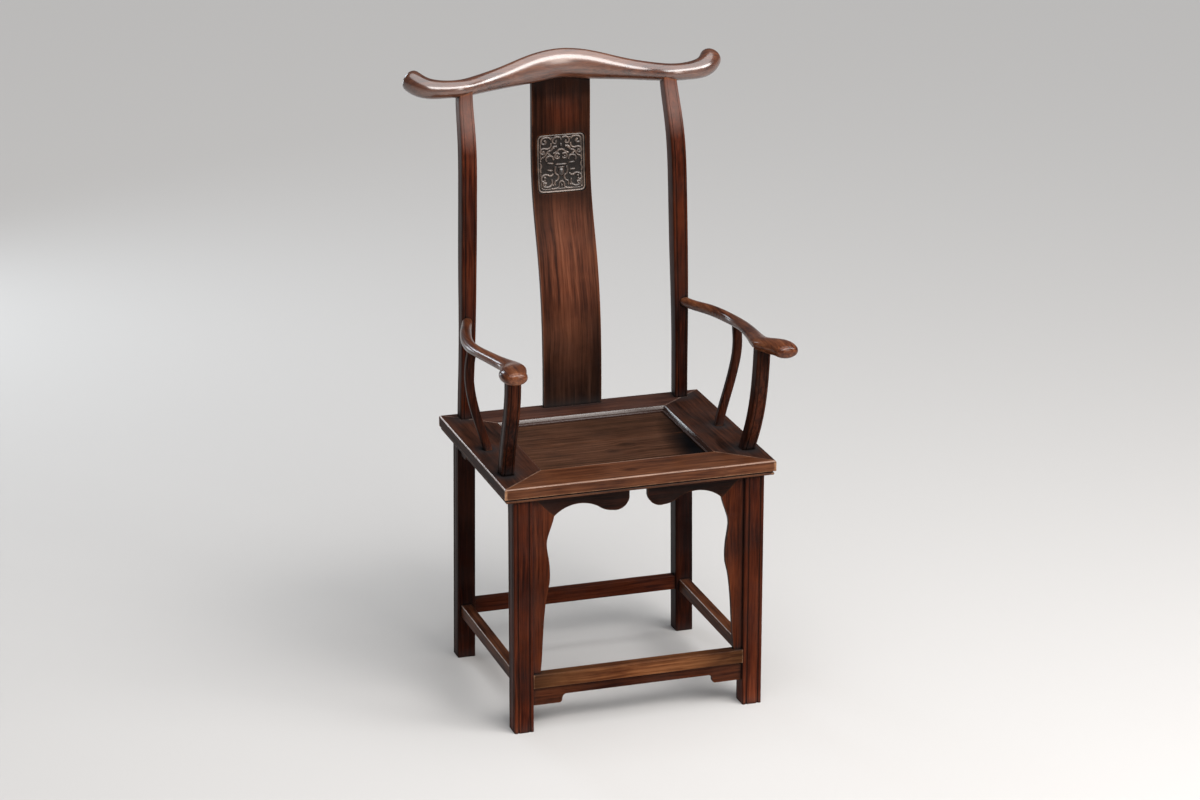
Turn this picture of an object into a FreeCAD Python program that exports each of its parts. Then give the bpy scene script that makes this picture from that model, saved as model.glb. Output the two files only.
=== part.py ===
import FreeCAD, Part
import os
import Sketcher

# A yoke-back armchair in lacquered hardwood. Lengths are millimetres. The origin
# is on the floor, midway between the sides and midway between the arms' front ends
# and the back of the crest rail. Seen from the front, +X is to the right. +Y points
# to the back and +Z up. Right and left in the names are those of the front view.

os.makedirs("parts", exist_ok=True)
doc = FreeCAD.newDocument("YokeBackArmchair")
sheet = doc.addObject("Spreadsheet::Sheet", "Sizes")

SIZES = {
    # seat frame
    "seat_width": 538, "seat_depth": 451, "seat_height": 500, "rail_thickness": 30,
    "side_rail_width": 97, "front_rail_width": 85, "back_rail_width": 78,
    "edge_round": 3.5, "edge_fascia": 21, "edge_quirk": 2.4, "edge_quirk_depth": 9,
    "edge_bead_inset": 3, "edge_bead_round": 3, "inner_slope_run": 6,
    "inner_slope_drop": 6, "inner_bead": 3, "corner_tenon_width": 22,
    "corner_tenon_thickness": 10, "corner_tenon_depth": 6, "corner_tenon_inset": 15.5,
    "corner_tenon_reach": 84,
    # seat panel and the braces under it
    "panel_recess": 12, "panel_thickness": 10, "panel_tongue": 5, "panel_tongue_reach": 8,
    "board_lap": 5, "brace_width": 26, "brace_thickness": 16, "brace_spacing": 150,
    "brace_tenon": 5, "brace_tenon_reach": 12, "dovetail_width": 14,
    "dovetail_height": 3, "dovetail_flare": 1.5,
    # legs
    "front_leg_width": 38.5, "front_leg_side_inset": 19.5, "front_leg_inset": 10.5,
    "rear_leg_width": 36, "rear_leg_depth": 35, "rear_leg_side_inset": 21,
    "rear_leg_inset": 9.5, "rear_leg_splay": 4.5, "leg_round": 3.2, "leg_bead": 8,
    "leg_quirk": 1.8, "leg_tenon": 20, "leg_tenon_height": 12,
    # back posts, one timber with the rear legs
    "post_width": 26, "post_depth": 29, "post_full_width": 30, "post_full_depth": 34,
    "post_side_inset": 34, "post_inset": 39.2, "post_lean": 15.5, "post_bead": 6,
    "post_quirk": 1.4, "post_round": 3.6, "post_tenon": 15, "post_tenon_height": 20,
    "post_tenon_root": 7,
    # crest rail
    "crest_rise": 675, "crest_overhang": 58.7, "crest_reach": 42.5,
    "crest_bow": 47, "crest_end_sweep": 37, "crest_drop": 23, "crest_end_rise": 18.5,
    "crest_tall": 60, "crest_thin": 34, "crest_bulb": 44, "crest_end_round": 12,
    # back splat
    "splat_width": 119, "splat_thickness": 11, "splat_inset": 21.8,
    "splat_top_depth": 14, "splat_foot_depth": 10, "medallion_width": 99,
    "medallion_height": 116, "medallion_rise": 477, "medallion_depth": 3.5,
    "medallion_round": 8,
    # arms and their posts
    "arm_rise": 203, "grip_rise": 34, "arm_overhang": 68, "arm_edge_inset": 3,
    "arm_rear_width": 21, "arm_rear_flatness": 1, "grip_width": 50, "grip_height": 30,
    "arm_tenon": 10, "arm_tenon_length": 14, "arm_tenon_shift": 2, "arm_end_round": 7,
    "front_post_inset": 28.5, "front_post_back": 87.8, "front_post_width": 26,
    "front_post_depth": 28, "front_post_bulge": 2.7, "front_post_tenon": 13,
    "side_post_inset": 34.3, "side_post_place": 4.3, "side_post_width": 17,
    "side_post_bulge": 13.8, "side_post_sway": 8.5, "side_post_round": 5,
    "side_post_tenon": 8, "foot_tenon_length": 18, "head_tenon_socket": 18,
    "head_tenon_length": 22,
    # stretchers
    "stretcher_tenon": 10, "stretcher_tenon_length": 10, "stretcher_shoulder": 4,
    "front_stretcher_top": 115, "front_stretcher_height": 28, "front_stretcher_depth": 22,
    "front_stretcher_setback": 1, "side_stretcher_top": 112, "side_stretcher_height": 25,
    "side_stretcher_width": 22, "side_stretcher_inset": 9, "rear_stretcher_top": 119,
    "rear_stretcher_height": 29, "rear_stretcher_depth": 20, "rear_stretcher_setback": 5,
    "stretcher_round": 2,
    # aprons
    "apron_thickness": 10, "apron_setback": 9, "apron_depth": 41, "apron_cleft": 36,
    "apron_tongue": 5, "apron_tongue_reach": 4, "upright_apron_width": 44,
    "foot_apron_depth": 20, "foot_bracket_depth": 37, "foot_bracket_length": 66,
    "side_apron_depth": 20, "side_bracket_depth": 40, "side_bracket_length": 40,
    "side_apron_inset": 11,
    # fits
    "joint_clearance": 0.15, "cut_overrun": 5,
}


class Size:
    # a length and the sheet formula that gives it
    def __init__(self, value, formula):
        self.value = float(value)
        self.formula = formula

    def __add__(self, other):
        return Size(self.value + other.value, f"({self.formula} + {other.formula})")

    def __sub__(self, other):
        return Size(self.value - other.value, f"({self.formula} - {other.formula})")

    def __mul__(self, share):
        return Size(self.value * share, f"({self.formula} * {share:.5f})")

    def __truediv__(self, share):
        return Size(self.value / share, f"({self.formula} / {share})")

    def __neg__(self):
        return Size(-self.value, f"(0 - {self.formula})")


class Named:
    # the sheet's cells as attributes
    pass


s = Named()
for row, (alias, number) in enumerate(SIZES.items(), start=1):
    sheet.set(f"A{row}", alias)
    sheet.set(f"B{row}", str(number))
    sheet.setAlias(f"B{row}", alias)
    setattr(s, alias, Size(number, f"Sizes.{alias}"))
doc.recompute()
zero = Size(0, "0")
gap = s.joint_clearance
over = s.cut_overrun
# where a quarter round's middle lies between its corner and its ends
round_share = 1 - 0.5 ** 0.5
pieces = []


def bind(item, prop, size):
    item.setExpression(prop, size.formula)


def place(item, x, y, z):
    for axis, size in zip("xyz", (x, y, z)):
        bind(item, f"Placement.Base.{axis}", size)


def keep(*items):
    pieces.extend(items)


# Outlines: a corner, then corners, arcs and curves round to the first corner.

def point(x, y):
    return FreeCAD.Vector(x.value, y.value, 0)


def arc(via, end):
    return ("arc", via, end)


def curve(*through):
    return ("curve", through, through[-1])


def end_of(step):
    return step[2] if len(step) > 2 else step


def draw(sketch, outline):
    here = outline[0]
    steps = list(outline[1:])
    if point(*end_of(steps[-1])) != point(*here):
        steps.append(here)
    drawn = []
    for step in steps:
        there = end_of(step)
        if step[0] == "arc":
            edge = Part.Arc(point(*here), point(*step[1]), point(*there))
        elif step[0] == "curve":
            edge = Part.BSplineCurve()
            edge.interpolate([point(*here)] + [point(*p) for p in step[1]])
        else:
            edge = Part.LineSegment(point(*here), point(*there))
        index = sketch.addGeometry(edge)
        first, last = 1, 2
        if sketch.getPoint(index, 1).distanceToPoint(point(*here)) > \
                sketch.getPoint(index, 2).distanceToPoint(point(*here)):
            first, last = 2, 1
        drawn.append((index, first, last, here))
        here = there
    for now, after in zip(drawn, drawn[1:] + drawn[:1]):
        sketch.addConstraint(Sketcher.Constraint("Coincident", now[0], now[2], after[0], after[1]))
    for index, first, last, corner in drawn:
        pin(sketch, index, first, corner)


def pin(sketch, index, vertex, corner):
    # Dimensions from the sketch's origin, bound to the sheet.
    for kind, size in zip(("DistanceX", "DistanceY"), corner):
        number = sketch.addConstraint(Sketcher.Constraint(kind, -1, 1, index, vertex, size.value))
        sketch.setExpression(f"Constraints[{number}]", size.formula)


def rectangle(x0, x1, y0, y1):
    return [(x0, y0), (x1, y0), (x1, y1), (x0, y1)]


def rounded(x0, x1, y0, y1, radius, bead=None, quirk=None, grooved=()):
    # A rectangle with rounded corners. On the grooved faces a small hollow runs
    # beside each edge and leaves a bead there.
    sides = (("front", (x1, y0), (-1, 0), (0, 1), x1 - x0),
             ("left", (x0, y0), (0, 1), (1, 0), y1 - y0),
             ("back", (x0, y1), (1, 0), (0, -1), x1 - x0),
             ("right", (x1, y1), (0, -1), (-1, 0), y1 - y0))
    outline = [(x1 - radius, y0)]
    for face, (cx, cy), (ax, ay), (bx, by), span in sides:
        def at(along, inward):
            return (cx + along * ax + inward * bx, cy + along * ay + inward * by)

        if face in grooved:
            for middle in (bead, span - bead):
                outline.append(at(middle - quirk, zero))
                outline.append(arc(at(middle, quirk), at(middle + quirk, zero)))
        outline.append(at(span - radius, zero))
        tip = at(span - radius * round_share, radius * round_share)
        outline.append(arc(tip, at(span, radius)))
    return outline


# Bodies: outlines padded or pocketed between two distances from an origin plane.

def flat_sketch(body, plane, offset):
    sketch = body.newObject("Sketcher::SketchObject", "Outline")
    support = [f for f in body.Origin.OriginFeatures if f.Role == plane][0]
    sketch.AttachmentSupport = [(support, "")]
    sketch.MapMode = "FlatFace"
    bind(sketch, "AttachmentOffset.Base.z", -offset if plane == "XZ_Plane" else offset)
    return sketch


def feature(body, kind, plane, outline, low, high):
    near = low if (kind == "Pad") != (plane == "XZ_Plane") else high
    sketch = flat_sketch(body, plane, near)
    draw(sketch, outline)
    solid = body.newObject(f"PartDesign::{kind}", kind)
    solid.Profile = sketch
    bind(solid, "Length", high - low)


def bore(body, x, y, diameter, low, high):
    # a round mortise sunk from above
    sketch = flat_sketch(body, "XY_Plane", high)
    circle = Part.Circle(point(x, y), FreeCAD.Vector(0, 0, 1), diameter.value / 2)
    index = sketch.addGeometry(circle)
    pin(sketch, index, 3, (x, y))
    number = sketch.addConstraint(Sketcher.Constraint("Diameter", index, diameter.value))
    sketch.setExpression(f"Constraints[{number}]", diameter.formula)
    hole = body.newObject("PartDesign::Pocket", "Mortise")
    hole.Profile = sketch
    bind(hole, "Length", high - low)


def new_body(label):
    return doc.addObject("PartDesign::Body", label)


# Primitives, lofts and booleans.

def block(name, x0, x1, y0, y1, z0, z1):
    box = doc.addObject("Part::Box", name)
    bind(box, "Length", x1 - x0)
    bind(box, "Width", y1 - y0)
    bind(box, "Height", z1 - z0)
    place(box, x0, y0, z0)
    return box


def socket(name, x0, x1, y0, y1, z0, z1):
    # the mortise for a square tenon of this size
    return block(name, x0 - gap, x1 + gap, y0 - gap, y1 + gap, z0 - gap, z1 + gap)


def peg(name, diameter, length, x, y, z, direction=(0, 0, 1)):
    rod = doc.addObject("Part::Cylinder", name)
    rod.Placement.Rotation = FreeCAD.Rotation(FreeCAD.Vector(0, 0, 1), FreeCAD.Vector(*direction))
    bind(rod, "Radius", diameter / 2)
    bind(rod, "Height", length)
    place(rod, x, y, z)
    return rod


def section(outline, x, y, z):
    sketch = doc.addObject("Sketcher::SketchObject", "Section")
    draw(sketch, outline)
    place(sketch, x, y, z)
    return sketch


def loft(name, sections):
    bar = doc.addObject("Part::Loft", name)
    bar.Sections = sections
    bar.Solid = True
    return bar


def prism(name, outline, x, y, z0, z1):
    bar = doc.addObject("Part::Extrusion", name)
    bar.Base = section(outline, x, y, z0)
    bar.DirMode = "Normal"
    bar.Solid = True
    bind(bar, "LengthFwd", z1 - z0)
    return bar


def oval_loft(name, stations, upright):
    # A smooth bar through ovals square to its line. A station is (centre, wide, high).
    centres = [FreeCAD.Vector(*(size.value for size in station[0])) for station in stations]
    rings = []
    for number, (centre, wide, high) in enumerate(stations):
        ahead = centres[min(number + 1, len(centres) - 1)]
        behind = centres[max(number - 1, 0)]
        along = (ahead - behind).normalize()
        side = FreeCAD.Vector(0, 0, 1).cross(along).normalize()
        rise = along.cross(side)
        ring = doc.addObject("Part::Ellipse", "Oval")
        axes = (rise, -side) if upright else (side, rise)
        ring.Placement.Rotation = FreeCAD.Rotation(*axes, along, "ZXY")
        place(ring, *centre)
        bind(ring, "MajorRadius", (high if upright else wide) / 2)
        bind(ring, "MinorRadius", (wide if upright else high) / 2)
        rings.append(ring)
    return loft(name, rings)


def join(name, *solids):
    fused = doc.addObject("Part::MultiFuse", name)
    fused.Shapes = list(solids)
    return fused


def cut(name, base, tool):
    result = doc.addObject("Part::Cut", name)
    result.Base = base
    result.Tool = tool
    return result


def soften(name, bar, radius, at_end):
    # round over the edges of a bar's free ends
    doc.recompute()
    rim = doc.addObject("Part::Fillet", name)
    rim.Base = bar
    rim.Edges = [(number, radius.value, radius.value)
                 for number, edge in enumerate(bar.Shape.Edges, start=1)
                 if at_end(edge.CenterOfMass)]
    return rim


def mirrored(label, source):
    # the same piece for the other side of the chair
    twin = doc.addObject("Part::Mirroring", label)
    twin.Source = source
    twin.Normal = FreeCAD.Vector(1, 0, 0)
    return twin


# Faces, edges and centre lines that several pieces share.
half_width = s.seat_width / 2
seat_middle = (s.arm_overhang - s.crest_overhang - s.crest_thin / 2) / 2
seat_front = seat_middle - s.seat_depth / 2
seat_back = seat_middle + s.seat_depth / 2
seat_top = s.seat_height
rail_bottom = seat_top - s.rail_thickness
opening_x = half_width - s.side_rail_width - s.inner_slope_run
opening_front = seat_front + s.front_rail_width + s.inner_slope_run
opening_back = seat_back - s.back_rail_width - s.inner_slope_run
panel_top = seat_top - s.panel_recess
panel_bottom = panel_top - s.panel_thickness
tongue_low = panel_bottom + (s.panel_thickness - s.panel_tongue) / 2
tongue_high = tongue_low + s.panel_tongue

front_leg_outer = half_width - s.front_leg_side_inset
front_leg_inner = front_leg_outer - s.front_leg_width
front_leg_y0 = seat_front + s.front_leg_inset
front_leg_y1 = front_leg_y0 + s.front_leg_width
front_leg_x = front_leg_outer - s.front_leg_width / 2
front_leg_y = front_leg_y0 + s.front_leg_width / 2
rear_leg_y1 = seat_back - s.rear_leg_inset
rear_leg_y0 = rear_leg_y1 - s.rear_leg_depth
rear_leg_y = rear_leg_y1 - s.rear_leg_depth / 2
post_x = half_width - s.post_side_inset - s.post_width / 2
post_front = seat_back - s.post_inset
crest_back = seat_back + s.crest_overhang
crest_half_length = half_width + s.crest_reach
arm_front = seat_front - s.arm_overhang

apron_y0 = front_leg_y0 + s.apron_setback
apron_y1 = apron_y0 + s.apron_thickness
apron_y = apron_y0 + s.apron_thickness / 2
side_apron_x1 = front_leg_outer - s.side_apron_inset
side_apron_x0 = side_apron_x1 - s.apron_thickness
side_apron_x = side_apron_x1 - s.apron_thickness / 2
rear_apron_y1 = rear_leg_y1 - s.side_apron_inset
rear_apron_y0 = rear_apron_y1 - s.apron_thickness
rear_apron_y = rear_apron_y1 - s.apron_thickness / 2
half_tongue = s.apron_tongue / 2


def rear_leg_outer_at(height):
    # the rear legs stand a little wider at the floor than under the seat
    outer = half_width - s.rear_leg_side_inset
    return outer - s.rear_leg_splay * (height.value / rail_bottom.value)


# Crest rail: an oval bar that bows back behind the sitter, dips and thins over the
# posts, and sweeps back and up into a rounded end on each side. Shares: of the half
# length, of the bow or sweep, of the drop or rise, and of the change in girth.
crest_shares = (
    (0.00, 0.00, 0.00, 1.00), (0.19, 0.117, 0.24, 0.88), (0.38, 0.38, 0.635, 0.40),
    (0.56, 0.70, 0.92, 0.10), (0.70, 1.00, 1.00, 0.00))
crest_end_shares = (
    (0.79, 0.04, 0.00, 0.10), (0.90, 0.24, 0.19, 0.66), (0.963, 0.67, 0.65, 1.00),
    (1.00, 1.00, 1.00, 0.30))
crest_z = seat_top + s.crest_rise
crest_low_y = crest_back - s.crest_bow
crest_low_z = crest_z - s.crest_drop


def crest_stations():
    half = []
    for along, bow, drop, girth in crest_shares:
        tall = s.crest_thin + (s.crest_tall - s.crest_thin) * girth + gap
        half.append((crest_half_length * along, crest_back - s.crest_bow * bow,
                     crest_z - s.crest_drop * drop, s.crest_thin, tall))
    for along, sweep, rise, swell in crest_end_shares:
        girth = s.crest_thin + (s.crest_bulb - s.crest_thin) * swell
        half.append((crest_half_length * along, crest_low_y + s.crest_end_sweep * sweep,
                     crest_low_z + s.crest_end_rise * rise, girth, girth + gap))
    left = [((-x, y, z), wide, tall) for x, y, z, wide, tall in reversed(half[1:])]
    return left + [((x, y, z), wide, tall) for x, y, z, wide, tall in half]


crest_bar = oval_loft("CrestBar", crest_stations(), True)

# Back post: it sways forward above the seat, then rakes back to the crest rail. It
# is stoutest at mid height, and its grooves fade towards the top. Shares: of the
# height, of the inward lean, of the front face's backward rake, of the growth in
# girth, and of the groove.
post_arm_shares = (0.315, 0.25, -0.200, 0.5, 1.0)
post_head_shares = (1.000, 1.00, 1.000, 0.2, 0.2)
post_shares = (
    (0.000, 0.00, 0.000, 0.0, 1.0), (0.157, 0.12, -0.110, 0.1, 1.0),
    post_arm_shares, (0.472, 0.37, -0.180, 0.9, 1.0),
    (0.630, 0.50, -0.140, 1.0, 1.0), (0.787, 0.65, -0.020, 1.0, 1.0),
    (0.866, 0.76, 0.260, 0.9, 0.6), (0.945, 0.89, 0.760, 0.6, 0.3),
    post_head_shares)
# Each post runs up into the bar it carries, to this share of the bar's thickness
# below its middle, and is coped to its underside.
cope_share = 1 / 6
post_head_bow_share = 0.95
post_top = crest_low_z - s.crest_thin * cope_share
post_rise = post_top - seat_top


def post_girth(shares):
    swell = shares[3]
    return (s.post_width + (s.post_full_width - s.post_width) * swell,
            s.post_depth + (s.post_full_depth - s.post_depth) * swell)


post_head_y = crest_back - s.crest_bow * post_head_bow_share
post_rake = post_head_y - post_girth(post_head_shares)[1] / 2 - post_front


def post_face(shares):
    # the middle of the front face
    high, lean, rake = shares[:3]
    return post_x - s.post_lean * lean, post_front + post_rake * rake, seat_top + post_rise * high


def post_centre(shares):
    x, y, z = post_face(shares)
    return x, y + post_girth(shares)[1] / 2, z


def post_bar():
    sections = []
    for shares in post_shares:
        wide, deep = post_girth(shares)
        outline = rounded(-wide / 2, wide / 2, -deep / 2, deep / 2, s.post_round, s.post_bead,
                          s.post_quirk * shares[4], ("front", "right"))
        sections.append(section(outline, *post_centre(shares)))
    return loft("PostBar", sections)


post_raw = post_bar()
post_head_x = post_centre(post_head_shares)[0]
arm_root_x, arm_root_y, arm_root_z = post_centre(post_arm_shares)

# Arm: an oval bar from the front face of the back post, bowed outwards over the edge
# of the seat and widening into a flattened grip. Shares: along from the post to the
# front end, out to the edge, of the rise, and of the growth in width and in height.
side_station_shares = (0.408, 1.000, 0.18, 0.14, 0.06)
front_station_shares = (0.808, 0.580, 0.74, 0.75, 0.49)
arm_shares = (
    (0.000, 0.000, 0.00, 0.00, 0.00), (0.144, 0.480, 0.00, 0.02, 0.06),
    (0.285, 0.865, 0.09, 0.07, 0.16), side_station_shares,
    (0.573, 0.890, 0.42, 0.27, -0.08), (0.714, 0.685, 0.59, 0.45, 0.15),
    front_station_shares, (0.890, 0.790, 0.89, 1.02, 0.98),
    (0.962, 0.960, 0.96, 1.02, 0.94), (1.000, 0.965, 0.96, 0.60, 0.40))
arm_z = seat_top + s.arm_rise
arm_rear_height = s.arm_rear_width - s.arm_rear_flatness


def arm_station(shares):
    along, out, rise, widen, deepen = shares
    centre = (arm_root_x + (half_width - s.arm_edge_inset - arm_root_x) * out,
              arm_root_y + (arm_front - arm_root_y) * along, arm_z + s.grip_rise * rise)
    wide = s.arm_rear_width + (s.grip_width - s.arm_rear_width) * widen
    high = arm_rear_height + (s.grip_height - arm_rear_height) * deepen
    return centre, wide, high


arm_raw = oval_loft("ArmBar", [arm_station(shares) for shares in arm_shares], False)
# cubic from oval to oval, so that the slim rear end doesn't ripple
arm_raw.MaxDegree = 3

# Arm posts. Shares: of the height, of the outward bulge, of the sway back. Each post
# also moves in a straight line from its foot to the arm, by its follow share.
front_post_shares = (
    (0.00, 0.00, 0.00), (0.18, 0.85, 0.30), (0.36, 1.00, 0.565), (0.54, 0.60, 0.785),
    (0.71, 0.10, 0.935), (1.00, 0.00, 1.00))
side_post_shares = (
    (0.000, 0.00, 0.00), (0.194, 0.39, 0.73), (0.388, 0.80, 1.00), (0.583, 1.00, 0.92),
    (0.777, 0.83, 0.60), (0.932, 0.30, 0.25), (1.000, 0.00, 0.00))
front_post_foot = (half_width - s.front_post_inset, seat_front + s.front_post_back)
side_post_foot = (half_width - s.side_post_inset, seat_middle + s.side_post_place)
front_post_centre, _, front_post_arm_high = arm_station(front_station_shares)
side_post_centre, _, side_post_arm_high = arm_station(side_station_shares)
front_post_head = front_post_centre[2] - front_post_arm_high * cope_share
side_post_head = side_post_centre[2] - side_post_arm_high * cope_share


def front_post_bar():
    sections = []
    half_wide, half_deep = s.front_post_width / 2, s.front_post_depth / 2
    outline = rounded(-half_wide, half_wide, -half_deep, half_deep, s.post_round,
                      s.post_bead, s.post_quirk, ("front", "right"))
    x, y = front_post_foot
    for high, bulge, sweep in front_post_shares:
        sections.append(section(
            outline, x + (front_post_centre[0] - x) * high + s.front_post_bulge * bulge,
            y + (front_post_centre[1] - y) * sweep,
            seat_top + (front_post_head - seat_top) * high))
    return loft("FrontPostBar", sections)


def side_post_bar():
    sections = []
    half = s.side_post_width / 2
    outline = rounded(-half, half, -half, half, s.side_post_round)
    x, y = side_post_foot
    for high, bulge, sway in side_post_shares:
        sections.append(section(
            outline, x + (side_post_centre[0] - x) * high + s.side_post_bulge * bulge,
            y + (side_post_centre[1] - y) * high + s.side_post_sway * sway,
            seat_top + (side_post_head - seat_top) * high))
    return loft("SidePostBar", sections)


def arm_post(label, bar, foot, centre, head, tenon):
    # coped under the arm, with a round tenon at each end
    foot_peg = peg("FootTenon", tenon, s.foot_tenon_length, *foot, seat_top - s.foot_tenon_length)
    head_peg = peg("HeadTenon", tenon, s.head_tenon_length, centre[0], centre[1],
                   head - s.head_tenon_socket)
    right = join(f"{label}_right", cut("Coped", bar, arm_raw), foot_peg, head_peg)
    keep(right, mirrored(f"{label}_left", right))


def head_mortise(centre, head, tenon):
    return peg("HeadMortise", tenon + gap * 2, s.head_tenon_length + gap, centre[0], centre[1],
               head - s.head_tenon_socket)


arm_post("front_arm_post", front_post_bar(), front_post_foot, front_post_centre,
         front_post_head, s.front_post_tenon)
arm_post("side_arm_post", side_post_bar(), side_post_foot, side_post_centre,
         side_post_head, s.side_post_tenon)

# The arm's rear end butts against the post's front face and is tenoned into it.
arm_tenon_x = arm_root_x + s.arm_tenon_shift
arm_end_y = post_face(post_arm_shares)[1]
arm_tenon_y = arm_end_y - s.arm_tenon_shift


def arms():
    rounded_bar = soften("ArmRounded", arm_raw, s.arm_end_round,
                         lambda middle: middle.y < seat_front.value)
    tenon = peg("ArmTenon", s.arm_tenon, s.arm_tenon_length, arm_tenon_x, arm_tenon_y,
                arm_root_z, (0, 1, 0))
    mortises = join("ArmMortises",
                    head_mortise(front_post_centre, front_post_head, s.front_post_tenon),
                    head_mortise(side_post_centre, side_post_head, s.side_post_tenon))
    waste = block("ArmWaste", arm_root_x - s.grip_width, arm_root_x + s.grip_width,
                  arm_end_y - gap, arm_root_y + s.grip_width, arm_root_z - s.grip_width,
                  arm_root_z + s.grip_width)
    butted = cut("ArmButted", rounded_bar, waste)
    right = cut("arm_right", join("ArmJoined", butted, tenon), mortises)
    keep(right, mirrored("arm_left", right))


arms()

# Crest rail: mortised for the two post tenons and grooved for the splat.
post_tenon_z = crest_low_z - s.crest_thin / 2 - s.post_tenon_root
post_tenon_length = s.post_tenon_root + s.post_tenon_height
splat_top_y = crest_back - s.splat_thickness / 2
splat_foot_y = seat_back - s.splat_inset
crest_under_z = crest_z - s.crest_tall / 2
splat_top_z = crest_under_z + s.splat_top_depth
splat_half = s.splat_width / 2


def crest_rail():
    bar = soften("CrestRounded", crest_bar, s.crest_end_round,
                 lambda middle: abs(middle.x) > crest_half_length.value / 2)
    tools = [peg("PostMortise", s.post_tenon + gap * 2, post_tenon_length + gap,
                 x, post_head_y, post_tenon_z) for x in (post_head_x, -post_head_x)]
    tools.append(socket("SplatGroove", -splat_half, splat_half, splat_top_y,
                        splat_top_y + s.splat_thickness, crest_under_z - over, splat_top_z))
    keep(cut("crest_rail", bar, join("CrestMortises", *tools)))


crest_rail()

# Back splat: one board curved to the sitter's back, with a sunk field near the top
# for a carved medallion. Shares: of the height, and of the sweep back.
splat_curve_shares = (
    (0.155, 0.01), (0.311, 0.115), (0.466, 0.40), (0.59, 0.74), (0.70, 0.94), (0.80, 0.99),
    (1.00, 1.00))


def splat_board(name, setback):
    foot_y = splat_foot_y + setback
    head_y = splat_top_y + setback
    rise = crest_under_z - seat_top

    def face(behind):
        return [(foot_y + behind + (head_y - foot_y) * sweep, seat_top + rise * high)
                for high, sweep in ((0, 0),) + splat_curve_shares]

    front, back = face(zero), face(s.splat_thickness)
    foot_z = seat_top - s.splat_foot_depth
    body = new_body(name)
    outline = [(foot_y, foot_z), front[0], curve(*front[1:]), (head_y, splat_top_z),
               (head_y + s.splat_thickness, splat_top_z), back[-1],
               curve(*reversed(back[:-1])), (foot_y + s.splat_thickness, foot_z)]
    feature(body, "Pad", "YZ_Plane", outline, -splat_half, splat_half)
    return body


def back_splat():
    low = seat_top + s.medallion_rise - s.medallion_height / 2
    field = new_body("MedallionField")
    feature(field, "Pad", "XZ_Plane",
            rounded(-s.medallion_width / 2, s.medallion_width / 2, low,
                    low + s.medallion_height, s.medallion_round),
            splat_top_y - s.splat_thickness * 2, splat_top_y + s.medallion_depth)
    sunk = cut("MedallionWaste", field, splat_board("SplatSetBack", s.medallion_depth))
    keep(cut("back_splat", splat_board("SplatBoard", zero), sunk))


back_splat()

# Rear legs and back posts: one timber each. It is square and splayed below the seat,
# and passes through the seat frame as a smaller neck.
side_stretcher_x1 = front_leg_outer - s.side_stretcher_inset
side_stretcher_x0 = side_stretcher_x1 - s.side_stretcher_width
side_stretcher_z0 = s.side_stretcher_top - s.side_stretcher_height
rear_stretcher_y0 = rear_leg_y0 + s.rear_stretcher_setback
rear_stretcher_y1 = rear_stretcher_y0 + s.rear_stretcher_depth
rear_stretcher_z0 = s.rear_stretcher_top - s.rear_stretcher_height
rear_stretcher_end = rear_leg_outer_at(s.rear_stretcher_top) - s.rear_leg_width
front_stretcher_y0 = front_leg_y0 + s.front_stretcher_setback
front_stretcher_y1 = front_stretcher_y0 + s.front_stretcher_depth
front_stretcher_z0 = s.front_stretcher_top - s.front_stretcher_height


def middle_of(low, high):
    # the span of a stretcher's tenon across its width
    middle = (low + high) / 2
    return middle - s.stretcher_tenon / 2, middle + s.stretcher_tenon / 2


def tenon_heights(low, high):
    return low + s.stretcher_shoulder, high - s.stretcher_shoulder


side_tenon_x = middle_of(side_stretcher_x0, side_stretcher_x1)
side_tenon_z = tenon_heights(side_stretcher_z0, s.side_stretcher_top)
rear_tenon_y = middle_of(rear_stretcher_y0, rear_stretcher_y1)
rear_tenon_z = tenon_heights(rear_stretcher_z0, s.rear_stretcher_top)
front_tenon_y = middle_of(front_stretcher_y0, front_stretcher_y1)
front_tenon_z = tenon_heights(front_stretcher_z0, s.front_stretcher_top)


def rear_legs():
    half_wide, half_deep = s.rear_leg_width / 2, s.rear_leg_depth / 2
    outline = rounded(-half_wide, half_wide, -half_deep, half_deep, s.leg_round, s.leg_bead,
                      s.leg_quirk, ("right", "back"))
    leg = loft("RearLegBar", [
        section(outline, rear_leg_outer_at(z) - half_wide, rear_leg_y, z)
        for z in (zero, rail_bottom)])
    neck = block("Neck", post_x - s.post_width / 2, post_x + s.post_width / 2, post_front,
                 post_front + s.post_depth, rail_bottom, seat_top)
    tenon = peg("PostTenon", s.post_tenon, post_tenon_length, post_head_x, post_head_y,
                post_tenon_z)
    timber = join("RearTimber", leg, neck, cut("PostCoped", post_raw, crest_bar), tenon)
    mortises = join(
        "RearMortises",
        peg("ArmMortise", s.arm_tenon + gap * 2, s.arm_tenon_length + gap, arm_tenon_x,
            arm_tenon_y, arm_root_z, (0, 1, 0)),
        socket("SideMortise", *side_tenon_x, rear_leg_y0 - over,
               rear_leg_y0 + s.stretcher_tenon_length, *side_tenon_z),
        socket("RearMortise", rear_stretcher_end - over,
               rear_stretcher_end + s.stretcher_tenon_length, *rear_tenon_y, *rear_tenon_z))
    right = cut("rear_leg_right", timber, mortises)
    keep(right, mirrored("rear_leg_left", right))


rear_legs()


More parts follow.
